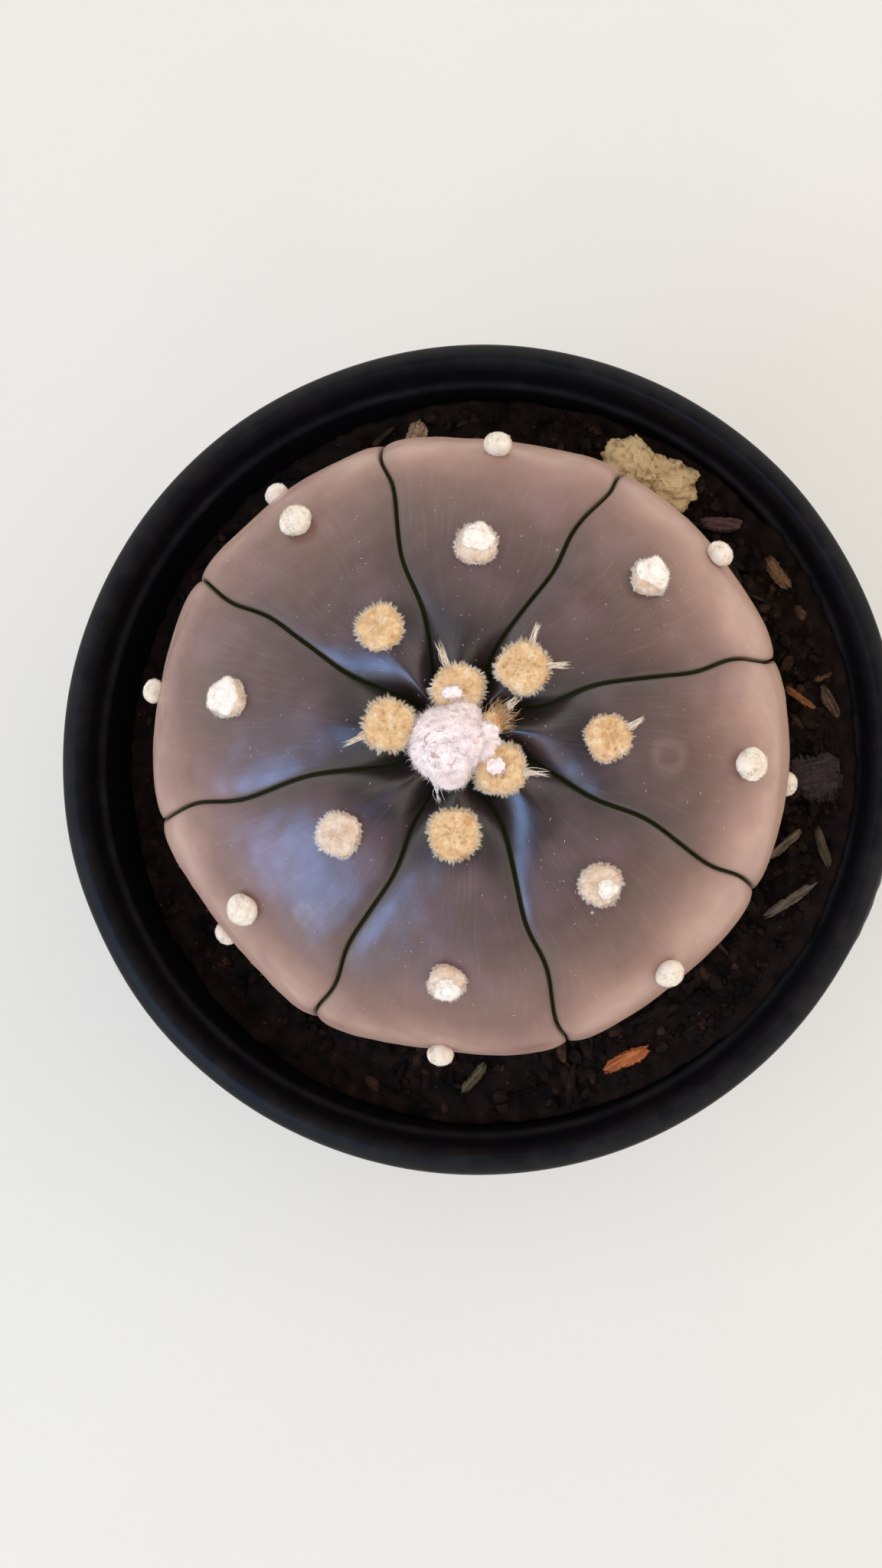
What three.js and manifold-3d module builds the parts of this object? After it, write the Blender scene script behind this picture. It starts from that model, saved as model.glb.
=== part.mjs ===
// A star cactus (Astrophytum asterias) in a round plastic nursery pot.
// Millimetres, +Z up, origin at the middle of the pot's foot; +X is the side where the soil is heaped.
import * as THREE from 'three';
import { mergeVertices } from 'three/addons/utils/BufferGeometryUtils.js';
import Module from 'manifold-3d';

const wasm = await Module();
wasm.setup();

// ---------------------------------------------------------------- driving dimensions

// Pot: outer rim radius, height and the radii of its tapered wall.
const RIM_R = 50.7;
const POT_H = 84;
const COLLAR_Z = 72.5;
const WALL_TOP_R = 46.8;
const FOOT_R = 36;
const WALL_T = 1.3;
const FLOOR_Z = 3.2;
const POT_SIDES = 64;
const DRAIN_HOLES = 5;
const DRAIN_R = 3.9;
const DRAIN_RING_R = 24;

// Gap kept between pieces that touch.
const GAP = 0.3;

// Soil: mean level at the pot's axis, its slope along +X, and the height of its lumps. Then the chips of
// bark that are half sunk in it, and the rings that shape its top.
const SOIL_Z = 76.6;
const SOIL_SLOPE = 0.095;
const SOIL_BUMP = 0.7;
const BARK_CHIPS = 34;
const CHIP_T = 1.2;
const CHIP_SINK = 0.45;
const SOIL_RINGS = [27, 34, 37.5, 41, 44, 48];
const SOIL_SIDES = 48;

// Stem: a flattened dome, slightly oval seen from above, on a shallower underside. It narrows into a
// taproot, and leans a little.
const STEM_R = 37.2;
const OVAL = 0.0125;
const OVAL_BEARING = -23;
const LIMB_Z = 87;
const DOME_H = 19;
const UNDER_H = 22;
const DOME_POWER = 2.25;
const PIT_DEPTH = 2.4;
const PIT_R = 5.5;
const STEM_X = -0.32;
const STEM_Y = 0.76;
const LEAN_X = 0.47;
const LEAN_Y = -0.91;

// Taproot under the stem: radius and height of each of its rings, from the stem down to its tip.
const ROOT = [[21, 68.2], [12, 63], [9, 55], [5.5, 45], [2.6, 37.5]];
const ROOT_TIP_Z = 36;

// Ribs: each groove has its bearing at the limb in degrees, and the turn it makes towards the crown.
const GROOVES = [
  { bearing: 14.2, turn: 18 },
  { bearing: 58.6, turn: 19 },
  { bearing: 105.3, turn: 10 },
  { bearing: 148.3, turn: 2 },
  { bearing: 193.4, turn: 10 },
  { bearing: 241.5, turn: 5 },
  { bearing: 288.0, turn: 12 },
  { bearing: 332.0, turn: 15 },
];
const TURN_FADE = 12;
const SLIT_HALF = 0.3;
const SLIT_DEPTH = 1.5;
const VALLEY_DEPTH = 2.3;
const SHOULDER_DROP = 0.6;

// Ribs from +X round: how far the middle of the outer edge is flattened, the distance of each areole along
// the rib from the crown, its sideways shift off the rib's middle, and each wisp's areole, bearing and length.
const AREOLES = [
  { flat: 0.3, along: [10, 27.4, 39], shift: [0.25, 0.7, -0.75], wisps: [[0, 70, 5.1], [0, 2, 5.2]] },
  { flat: 0.8, along: [5.2, 21.2, 36.2], shift: [0, 0.25, 0.25], wisps: [[0, 112, 6]] },
  { flat: 0.6, along: [14.5, 31.3, 45, 56], shift: [-0.5, 0, 0.25, 0], wisps: [] },
  { flat: 0.7, along: [7.8, 26.1, 42.2, 57.5], shift: [-0.25, -0.5, -0.5, 0], wisps: [[0, 205, 5.6]] },
  { flat: 1, along: [17, 32.1, 48], shift: [0, 0, 0.2], wisps: [] },
  { flat: 0.9, along: [10.9, 27.5, 40.5], shift: [-0.25, 0.4, 0.4], wisps: [] },
  { flat: 0.7, along: [6, 21.9, 36.6], shift: [0.25, 0.25, 0.25], wisps: [[0, -8, 5.8]] },
  { flat: 0.2, along: [4.8, 15.7, 32.2, 49], shift: [1.5, 0.25, 0, -0.5], wisps: [[0, 60, 3.6], [1, 26, 4.4]] },
];

// The areole nearest the crown is only starting to show its wool.
const NEWEST = 5;
const NEWEST_SHARE = 0.6;

// Wool: young areoles are brushes that stand on the skin, and old ones are balls. Each row is its radius,
// its height, the depth of its locks and its unevenness, all in radii of the areole.
const BRUSH = {
  top: 0.54,
  rows: [[0.6, 0.62, 0.03, 0.1], [0.98, 0.34, 0.1, 0.09], [0.7, -0.4, 0, 0]],
};
const BALL = {
  top: 1.36,
  rows: [[0.68, 1.16, 0.03, 0.05], [0.97, 0.62, 0.05, 0.05], [0.7, 0.04, 0, 0], [0.5, -0.5, 0, 0]],
};

// Along a rib, wool stands as a ball from BALL_AFTER on, and sits in the soil from BURIED on. Each areole
// pushes the grooves beside it away by PUSH, which fades over PUSH_REACH.
const BALL_AFTER = 30;
const BURIED = 54;
const PUSH = 0.45;
const PUSH_REACH = 4;

// Rings of the stem along its meridian, from the crown down; and how each rib is divided across.
const STEM_RINGS = [
  1.6, 3.4, 5.2, 7.2, 9.4, 12, 15, 18.4, 22.2, 26.4, 30.8, 35, 38.8, 42, 45, 48, 51.5, 56, 61,
];
const RIB_STEPS = [0.13, 0.31, 0.5, 0.69, 0.87];

// Flower bud: where it sits from the stem's crown, how flat it is, and the lobes of its wool.
const BUD_X = -0.9;
const BUD_Y = -0.75;
const BUD_RISE = 1.5;
const BUD_FLAT = 0.8;
const BUD_LOBES = [
  { at: new THREE.Vector3(-0.5, -0.2, 0), r: 4.1 },
  { at: new THREE.Vector3(1, 2.3, 0.1), r: 2.35 },
  { at: new THREE.Vector3(3.7, -0.9, -0.3), r: 2 },
  { at: new THREE.Vector3(-0.2, -2.6, -0.1), r: 2.5 },
  { at: new THREE.Vector3(1.1, 0.2, 1.5), r: 2.6 },
];

// ---------------------------------------------------------------- small helpers

/** Seeded random numbers from 0 to 1. */
function seeded(seed) {
  let state = seed >>> 0;
  return () => {
    state = (state + 0x6d2b79f5) >>> 0;
    let t = state;
    t = Math.imul(t ^ (t >>> 15), t | 1);
    t ^= t + Math.imul(t ^ (t >>> 7), t | 61);
    return ((t ^ (t >>> 14)) >>> 0) / 4294967296;
  };
}

const smooth = (a, b, x) => THREE.MathUtils.smoothstep(x, a, b);
const rad = THREE.MathUtils.degToRad;

/** A closed three.js geometry as a solid that can be joined and cut. */
function solid(geometry) {
  const bare = geometry.clone();
  bare.deleteAttribute('normal');
  bare.deleteAttribute('uv');
  const merged = mergeVertices(bare, 1e-4);
  const positions = Float32Array.from(merged.getAttribute('position').array);
  const triangles = Uint32Array.from(merged.getIndex().array);
  return new wasm.Manifold(new wasm.Mesh({ numProp: 3, vertProperties: positions, triVerts: triangles }));
}

/** A solid back as a three.js geometry. */
function geometryOf(body) {
  const mesh = body.getMesh();
  const geometry = new THREE.BufferGeometry();
  geometry.setAttribute('position', new THREE.BufferAttribute(Float32Array.from(mesh.vertProperties), 3));
  geometry.setIndex(Array.from(mesh.triVerts));
  geometry.computeVertexNormals();
  return geometry;
}

/** The largest body of a solid; scraps that a cut has parted from it are dropped. */
function largest(body) {
  const bodies = body.decompose();
  bodies.sort((a, b) => b.volume() - a.volume());
  return bodies[0];
}

/** Closed shell through rings of points, with a single point to cap each end. */
function shell(first, rings, last) {
  const points = [first, ...rings.flat(), last];
  const count = rings[0].length;
  const index = [];
  for (let j = 0; j < count; j += 1) {
    const next = (j + 1) % count;
    index.push(0, 1 + j, 1 + next);
  }
  for (let i = 0; i + 1 < rings.length; i += 1) {
    const upper = 1 + i * count;
    const lower = upper + count;
    for (let j = 0; j < count; j += 1) {
      const next = (j + 1) % count;
      index.push(upper + j, lower + j, lower + next);
      index.push(upper + j, lower + next, upper + next);
    }
  }
  const base = 1 + (rings.length - 1) * count;
  const end = points.length - 1;
  for (let j = 0; j < count; j += 1) {
    const next = (j + 1) % count;
    index.push(end, base + next, base + j);
  }
  const geometry = new THREE.BufferGeometry().setFromPoints(points);
  geometry.setIndex(index);
  geometry.computeVertexNormals();
  return geometry;
}

/** A ball of small triangles with shared corners. */
function ballGeometry() {
  const ball = new THREE.IcosahedronGeometry(1, 4);
  ball.deleteAttribute('normal');
  ball.deleteAttribute('uv');
  return mergeVertices(ball, 1e-4);
}

/** How far a cluster of lobes reaches from its middle in one direction. */
function lobeReach(lobes, direction) {
  let far = 0;
  for (const lobe of lobes) {
    const along = direction.dot(lobe.at);
    const inside = lobe.r ** 2 - lobe.at.lengthSq() + along * along;
    if (inside > 0) {
      far = Math.max(far, along + Math.sqrt(inside));
    }
  }
  return far;
}

/** A lathed body, stood up along +Z. */
function lathe(profile, sides) {
  const points = profile.map(([r, z]) => new THREE.Vector2(r, z));
  const geometry = new THREE.LatheGeometry(points, sides);
  geometry.rotateX(Math.PI / 2);
  return geometry;
}

// ---------------------------------------------------------------- the stem's surface

/** Radius and height of the rib crest at angle a of the meridian, from 0 at the crown. */
function crest(a) {
  const sine = Math.sin(a);
  const cosine = Math.cos(a);
  if (cosine > 0) {
    const power = 2 / DOME_POWER;
    const r = STEM_R * Math.pow(sine, power);
    const pit = PIT_DEPTH * Math.exp(-((r / PIT_R) ** 2));
    return [r, LIMB_Z + DOME_H * Math.pow(cosine, power) - pit];
  }
  return [STEM_R * sine, LIMB_Z + UNDER_H * cosine];
}

const MERIDIAN = [];
for (let i = 0, length = 0; i <= 1600; i += 1) {
  const [r, z] = crest(((Math.PI * 0.93) * i) / 1600);
  if (i > 0) {
    length += Math.hypot(r - MERIDIAN[i - 1].r, z - MERIDIAN[i - 1].z);
  }
  MERIDIAN.push({ r, z, length });
}

/** Radius, height and outward normal of the crest at a distance along the meridian. */
function meridian(along) {
  let i = 1;
  while (i < MERIDIAN.length - 1 && MERIDIAN[i].length < along) {
    i += 1;
  }
  const a = MERIDIAN[i - 1];
  const b = MERIDIAN[i];
  const t = (along - a.length) / (b.length - a.length);
  const run = Math.hypot(b.r - a.r, b.z - a.z);
  return {
    r: a.r + (b.r - a.r) * t,
    z: a.z + (b.z - a.z) * t,
    nr: -(b.z - a.z) / run,
    nz: (b.r - a.r) / run,
  };
}

/** The stem's centre line at a height: it leans a little above the limb. */
function centreAt(z) {
  const k = THREE.MathUtils.clamp((z - LIMB_Z) / DOME_H, 0, 1);
  return [STEM_X + LEAN_X * k, STEM_Y + LEAN_Y * k];
}

/** Bearing of groove k in degrees: it turns towards the crown and bows away from the areoles beside it. */
function grooveBearing(k, along) {
  const turns = Math.floor(k / 8);
  const groove = GROOVES[k - turns * 8];
  const clockwise = AREOLES[(k - turns * 8 + 7) % 8];
  const counter = AREOLES[k - turns * 8];
  const nearness = (at) => Math.exp(-(((along - at) / PUSH_REACH) ** 2));
  const reach = (list) => list.along.reduce((sum, at) => sum + nearness(at), 0);
  const push = PUSH * (reach(clockwise) - reach(counter));
  const r = Math.max(meridian(along).r, 3);
  const turned = groove.bearing + groove.turn * Math.exp(-along / TURN_FADE);
  return turned + turns * 360 + THREE.MathUtils.radToDeg(push / r);
}

/** How far a rib's skin stands above the crest line, at v of the way from a groove (0) to mid-rib (1). */
function relief(rib, along, v, distance) {
  const near = smooth(1, 4, along);
  const valley = VALLEY_DEPTH * near * Math.exp(-(((along - 6) / 8) ** 2)) * Math.pow(1 - v, 1.5);
  const shoulder = SHOULDER_DROP * near * Math.exp(-distance / 1.1);
  const flat = AREOLES[rib].flat * smooth(26, 44, along) * v * v * (3 - 2 * v);
  const fade = 1 - smooth(55, 61, along);
  return -(valley + (shoulder + flat) * fade);
}

/** How much wider than round the stem is at an angle: it is slightly oval. */
function oval(angle) {
  return 1 + OVAL * Math.cos(2 * (angle - rad(OVAL_BEARING)));
}

/** A point of the stem's skin at a distance from the crown and a bearing in degrees, lifted off the skin. */
function skinPoint(along, bearing, lift) {
  const m = meridian(along);
  const [cx, cy] = centreAt(m.z);
  const angle = rad(bearing);
  const r = m.r * oval(angle) + lift * m.nr;
  return new THREE.Vector3(cx + r * Math.cos(angle), cy + r * Math.sin(angle), m.z + lift * m.nz);
}

/** One ring of the stem: for each rib the slit, its two lips and the steps across the rib. */
function stemRing(along) {
  const ring = [];
  const r = meridian(along).r;
  const depth = SLIT_DEPTH * smooth(2, 9, along) * (1 - smooth(56, 61, along));
  for (let k = 0; k < 8; k += 1) {
    const from = grooveBearing(k, along);
    const to = grooveBearing(k + 1, along);
    const width = rad(to - from) * r;
    const lip = Math.min(SLIT_HALF / width, 0.07);
    ring.push(skinPoint(along, from, relief(k, along, 0, 0) - depth));
    for (const step of [lip, ...RIB_STEPS.map((f) => lip + (1 - 2 * lip) * f), 1 - lip]) {
      const v = 1 - Math.abs(2 * step - 1);
      ring.push(skinPoint(along, from + (to - from) * step, relief(k, along, v, (v * width) / 2)));
    }
  }
  return ring;
}

/** The stem with its taproot. */
function stemSolid() {
  const rings = STEM_RINGS.map(stemRing);
  const sides = rings[0].length;
  for (const [r, z] of ROOT) {
    const ring = [];
    for (let j = 0; j < sides; j += 1) {
      const last = rings[STEM_RINGS.length - 1][j];
      const angle = Math.atan2(last.y - STEM_Y, last.x - STEM_X);
      const out = r * oval(angle);
      ring.push(new THREE.Vector3(STEM_X + out * Math.cos(angle), STEM_Y + out * Math.sin(angle), z));
    }
    rings.push(ring);
  }
  const [topX, topY] = centreAt(LIMB_Z + DOME_H);
  const top = new THREE.Vector3(topX, topY, LIMB_Z + DOME_H - PIT_DEPTH);
  const tip = new THREE.Vector3(STEM_X, STEM_Y, ROOT_TIP_Z);
  return solid(shell(top, rings, tip));
}

/** Radius of the wool at a distance from the crown: young areoles are the widest. */
function areoleRadius(along) {
  const radius = 3 - 0.45 * smooth(9, 18, along) - smooth(16, 44, along);
  return along < NEWEST ? radius * NEWEST_SHARE : radius;
}

/** The place of an areole: its point on the skin, the skin's outward normal, its radius and its form. */
function areolePlace(rib, along, shift) {
  const from = grooveBearing(rib, along);
  const to = grooveBearing(rib + 1, along);
  const m = meridian(along);
  const bearing = (from + to) / 2 + THREE.MathUtils.radToDeg(shift / m.r);
  const point = skinPoint(along, bearing, relief(rib, along, 1, 9));
  const angle = rad(bearing);
  const normal = new THREE.Vector3(m.nr * Math.cos(angle), m.nr * Math.sin(angle), m.nz);
  return { point, normal, radius: areoleRadius(along), form: along > BALL_AFTER ? BALL : BRUSH };
}

/** A tuft of wool: locks round its edge over an uneven crown, as a brush or a ball. */
function tuft(place, random) {
  const { point, normal, radius, form } = place;
  const locks = radius > 2.6 ? 16 : 12;
  const turn = new THREE.Quaternion().setFromUnitVectors(new THREE.Vector3(0, 0, 1), normal);
  const at = (r, angle, z) => {
    return new THREE.Vector3(r * Math.cos(angle), r * Math.sin(angle), z).applyQuaternion(turn).add(point);
  };
  const rings = form.rows.map(([r, z, ragged, jitter], row) => {
    const ring = [];
    for (let j = 0; j < locks; j += 1) {
      const lock = (j + row) % 2 === 0 ? ragged : -ragged;
      const angle = (2 * Math.PI * (j + 0.3 * (random() - 0.5))) / locks;
      const level = z + (random() - 0.5) * jitter;
      ring.push(at(radius * (r + lock * (0.7 + 0.6 * random())), angle, level * radius));
    }
    return ring;
  });
  return solid(shell(at(0, 0, form.top * radius), rings, at(0, 0, -radius * 0.55)));
}

/** A pointed wisp of wool that leaves a tuft sideways and rises a little. */
function wisp(place, bearing, length, random) {
  const angle = rad(bearing);
  const side = new THREE.Vector3(Math.cos(angle), Math.sin(angle), 0.28);
  side.addScaledVector(place.normal, -side.dot(place.normal) * 0.75).normalize();
  const across = new THREE.Vector3().crossVectors(place.normal, side).normalize();
  const up = new THREE.Vector3().crossVectors(side, across).normalize();
  const start = place.point.clone().addScaledVector(place.normal, place.radius * 0.3);
  const rings = [];
  for (const [t, r] of [[1, 0.3], [0.75, 0.38], [0.5, 0.5], [0.1, 0.6]]) {
    const ring = [];
    for (let j = 0; j < 5; j += 1) {
      const a = (2 * Math.PI * j) / 5;
      const p = start.clone().addScaledVector(side, t * length);
      p.addScaledVector(up, 0.5 * t * t + r * 0.7 * Math.sin(a) + 0.1 * random());
      p.addScaledVector(across, r * Math.cos(a) + 0.12 * (random() - 0.5));
      ring.push(p);
    }
    rings.push(ring);
  }
  const tip = start.clone().addScaledVector(side, length + 0.25);
  tip.addScaledVector(up, 0.6);
  return solid(shell(tip, rings, start));
}

/** The bud: a cluster of lobes, drawn out into locks of wool; grown by a margin it is the seat for it. */
function budGeometry(margin) {
  const random = seeded(71);
  const [cx, cy] = centreAt(LIMB_Z + DOME_H);
  const centre = new THREE.Vector3(cx + BUD_X, cy + BUD_Y, LIMB_Z + DOME_H - PIT_DEPTH + BUD_RISE);
  const geometry = ballGeometry();
  const position = geometry.getAttribute('position');
  for (let i = 0; i < position.count; i += 1) {
    const d = new THREE.Vector3().fromBufferAttribute(position, i).normalize();
    const lock = (i % 2 === 0 ? 0.25 : -0.15) * random() * smooth(-0.3, 0.2, d.z);
    const r = lobeReach(BUD_LOBES, d) + (margin > 0 ? margin : lock);
    position.setXYZ(i, centre.x + d.x * r, centre.y + d.y * r, centre.z + d.z * r * BUD_FLAT);
  }
  geometry.computeVertexNormals();
  return geometry;
}

/** The whole plant but the bud, as one grown body. */
function cactusGeometry() {
  const random = seeded(17);
  let plant = stemSolid();
  const tufts = [];
  AREOLES.forEach(({ along, shift, wisps }, rib) => {
    along.forEach((at, i) => {
      const place = areolePlace(rib, at, shift[i]);
      tufts.push(tuft(place, random));
      for (const [, bearing, length] of wisps.filter(([index]) => index === i)) {
        tufts.push(wisp(place, bearing, length, random));
      }
    });
  });
  plant = wasm.Manifold.union([plant, ...tufts]);
  return geometryOf(largest(plant.subtract(solid(budGeometry(GAP + 0.35)))));
}

// ---------------------------------------------------------------- pot and soil

/** Inner face of the pot, from the floor to the crest of the rim, with a small ledge below the lip. */
const INNER = [
  [FOOT_R - 1.6, FLOOR_Z],
  [WALL_TOP_R - WALL_T, 74],
  [45.7, 80],
  [46.6, 80.5],
  [47.2, 82.9],
  [48.2, POT_H],
];

/** The pot: a rounded rim, a collar under it, a tapered wall and a foot ring round the drain holes. */
function potGeometry() {
  const outer = [
    [RIM_R - 1.3, POT_H - 0.3],
    [RIM_R - 0.3, POT_H - 1.1],
    [RIM_R, POT_H - 2.4],
    [RIM_R - 0.4, COLLAR_Z + 0.6],
    [RIM_R - 0.9, COLLAR_Z],
    [WALL_TOP_R, COLLAR_Z - 0.4],
    [FOOT_R + 0.6, 2.2],
    [FOOT_R, 0],
    [FOOT_R - 3.4, 0],
    [FOOT_R - 4.2, 1.5],
    [0, 1.5],
  ];
  const profile = [[0, FLOOR_Z], ...INNER, ...outer].reverse();
  let pot = solid(lathe(profile, POT_SIDES));
  for (let i = 0; i < DRAIN_HOLES; i += 1) {
    const hole = new THREE.CylinderGeometry(DRAIN_R, DRAIN_R, 8, 24).rotateX(Math.PI / 2);
    const angle = (2 * Math.PI * i) / DRAIN_HOLES;
    hole.translate(DRAIN_RING_R * Math.cos(angle), DRAIN_RING_R * Math.sin(angle), 2);
    pot = pot.subtract(solid(hole));
  }
  return geometryOf(pot);
}

/** Height of the soil at a place: sloped, lumpy and heaped against the +X side. */
function soilLevel(x, y) {
  const lumps = Math.sin(x * 0.31 + 1.7) * Math.cos(y * 0.27 - 0.6) + 0.6 * Math.sin(x * 0.55 - y * 0.47);
  return SOIL_Z + SOIL_SLOPE * x + SOIL_BUMP * 0.6 * lumps;
}

/** A flat, split-edged piece of bark lying on the soil. */
function barkPiece({ at, size, turn, tilt }, sink, seed, worn) {
  const [x, y] = at;
  const [length, width, thickness] = size;
  const random = seeded(seed);
  const outline = [];
  const corners = 6;
  for (let i = 0; i < corners; i += 1) {
    const a = (2 * Math.PI * (i + 0.35 * (random() - 0.5))) / corners;
    const r = 0.82 + 0.3 * random();
    outline.push(new THREE.Vector2(0.5 * length * r * Math.cos(a), 0.5 * width * r * Math.sin(a)));
  }
  const geometry = new THREE.ExtrudeGeometry(new THREE.Shape(outline), {
    depth: worn ? thickness * 0.5 : thickness,
    bevelEnabled: worn,
    bevelThickness: thickness * 0.25,
    bevelSize: width * 0.1,
    bevelOffset: -width * 0.1,
    bevelSegments: 1,
  });
  geometry.translate(0, 0, worn ? -thickness * 0.25 : -thickness * 0.5);
  geometry.rotateX(rad(tilt));
  geometry.rotateZ(rad(turn));
  geometry.translate(x, y, soilLevel(x, y) + thickness * 0.5 - sink);
  return geometry;
}

/** Places for the bark fused to the soil, round the stem and most of it on the heaped side. */
function barkPlaces() {
  const random = seeded(5);
  const places = [];
  while (places.length < BARK_CHIPS) {
    const bearing = random() < 0.62 ? -75 + 150 * random() : 360 * random();
    const r = 36.5 + 6 * random();
    const length = 2.4 + 3.6 * random();
    const x = r * Math.cos(rad(bearing));
    const y = r * Math.sin(rad(bearing));
    const clear = LOOSE.every(({ at, keep }) => Math.hypot(at[0] - x, at[1] - y) > keep + length * 0.5);
    if (clear) {
      const width = 1.3 + 1.3 * random();
      const turn = 360 * random();
      const tilt = 40 * (random() - 0.5);
      places.push({ at: [x, y], size: [length, width, CHIP_T], turn, tilt });
    }
  }
  return places;
}

/** Loose pieces that lie on the soil, each of a colour of its own; keep is the room left round each. */
const LOOSE = [
  { name: 'bark_orange', at: [18.6, -37], keep: 3.6, size: [6.2, 2, 1.4], turn: 29, tilt: -8 },
  { name: 'bark_tan', at: [-7.2, 41], keep: 2.8, size: [3.6, 2.4, 1.6], turn: 70, tilt: 10 },
  { name: 'bark_pale', at: [-0.1, -39.6], keep: 3, size: [4.6, 1.3, 1.1], turn: 52, tilt: 6 },
  { name: 'bark_grey', at: [43, 6], keep: 3, size: [4.4, 1.3, 1.2], turn: -64, tilt: 8 },
  { name: 'bark_dark', at: [41.4, -2.6], keep: 4.4, size: [6.4, 6.2, 1.7], turn: 12, tilt: -7 },
  { name: 'bark_brown', at: [37.4, 21.6], keep: 3.4, size: [5, 1.7, 1.3], turn: -58, tilt: 8 },
  { name: 'bark_rose', at: [30.8, 28.2], keep: 3.6, size: [5.8, 1.8, 1.2], turn: -5, tilt: -6 },
  { name: 'splinter_rust', at: [39.5, 6.5], keep: 3, size: [4.6, 1, 1], turn: -35, tilt: 6 },
  { name: 'splinter_near', at: [37.6, -11], keep: 3, size: [5.2, 1.1, 1], turn: 39, tilt: 8 },
  { name: 'splinter_wall', at: [42.1, -11.6], keep: 3, size: [5.2, 1.1, 1], turn: -71, tilt: -8 },
  { name: 'splinter_long', at: [37.9, -17.8], keep: 4, size: [7.6, 1.2, 1.1], turn: 35, tilt: 5 },
  { name: 'pale_lump', at: [22.2, 34.2], keep: 7.6 },
];
const LUMP_LOBES = [
  { at: new THREE.Vector3(-3.2, 0.9, 0.3), r: 3.1 },
  { at: new THREE.Vector3(2.6, -0.7, 0), r: 2.9 },
  { at: new THREE.Vector3(0, 0.2, -0.3), r: 2.6 },
];
const LUMP_TURN = -12;
const LUMP_FLAT = 0.78;
const LUMP_WAIST = 1.8;

/** A rough lump of pale grit in two lobes; the margin grows it into the hollow that it sits in. */
function lumpGeometry(margin) {
  const random = seeded(23);
  const [x, y] = LOOSE.find((piece) => piece.name === 'pale_lump').at;
  const geometry = ballGeometry();
  const position = geometry.getAttribute('position');
  for (let i = 0; i < position.count; i += 1) {
    const d = new THREE.Vector3().fromBufferAttribute(position, i).normalize();
    const r = Math.max(lobeReach(LUMP_LOBES, d), LUMP_WAIST) + 0.5 * (random() - 0.5) + margin;
    position.setXYZ(i, d.x * r, d.y * r, d.z * r * LUMP_FLAT);
  }
  geometry.rotateZ(rad(LUMP_TURN));
  geometry.translate(x, y, soilLevel(x, y) + 1.1);
  geometry.computeVertexNormals();
  return geometry;
}

/** A loose piece of bark, grown by a margin for the hollow that it sits in. */
function looseGeometry(piece, margin) {
  const size = piece.size.map((side) => side + 2 * margin);
  const [length, , thickness] = piece.size;
  return barkPiece({ ...piece, size }, margin + thickness * 0.25, 11 + length, true);
}

/** The soil: it fills the pot up to its lumpy top, with the bark fused in and a plain hole for the stem. */
function soilGeometry() {
  const bed = [[0, FLOOR_Z]];
  INNER.forEach(([r, z], i) => bed.push([r - GAP, i === 0 ? FLOOR_Z : z]));
  bed.push([0, POT_H]);
  const rings = [];
  for (const r of SOIL_RINGS) {
    const ring = [];
    for (let j = 0; j < SOIL_SIDES; j += 1) {
      const a = (2 * Math.PI * j) / SOIL_SIDES;
      const x = r * Math.cos(a);
      const y = r * Math.sin(a);
      ring.push(new THREE.Vector3(x, y, soilLevel(x, y) + 0.5 * Math.sin(j * 2.4 + r)));
    }
    rings.push(ring);
  }
  rings.push(rings[rings.length - 1].map((p) => new THREE.Vector3(p.x, p.y, -2)));
  const ground = solid(shell(new THREE.Vector3(0, 0, SOIL_Z), rings, new THREE.Vector3(0, 0, -2)));
  let soil = solid(lathe(bed, SOIL_SIDES)).intersect(ground);
  const chips = barkPlaces().map((place, i) => solid(barkPiece(place, CHIP_SINK, 100 + i, false)));
  soil = wasm.Manifold.union([soil, ...chips]);
  const hole = [[0, ROOT_TIP_Z - 0.6]];
  for (const [r, z] of [...ROOT].reverse()) {
    hole.push([r + GAP + 0.15, z - 0.2]);
  }
  for (const along of [61, 56, 51.5, 48]) {
    const m = meridian(along);
    hole.push([m.r + GAP + 0.1, m.z - 0.15]);
  }
  hole.push([STEM_R + 1, 92], [0, 92]);
  const cutter = lathe(hole, SOIL_SIDES);
  cutter.scale(1 + OVAL, 1 - OVAL, 1);
  cutter.rotateZ(rad(OVAL_BEARING));
  cutter.translate(STEM_X, STEM_Y, 0);
  soil = soil.subtract(solid(cutter));
  AREOLES.forEach(({ along }, rib) => {
    for (const at of along.filter((value) => value > BURIED)) {
      const place = areolePlace(rib, at, 0);
      const seat = new THREE.IcosahedronGeometry(place.radius + 1.2, 1);
      seat.translate(place.point.x, place.point.y, place.point.z);
      soil = soil.subtract(solid(seat));
    }
  });
  for (const piece of LOOSE) {
    const seat = piece.size ? looseGeometry(piece, GAP) : lumpGeometry(GAP);
    soil = soil.subtract(solid(seat));
  }
  return geometryOf(largest(soil));
}

// ---------------------------------------------------------------- the scene graph

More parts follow.
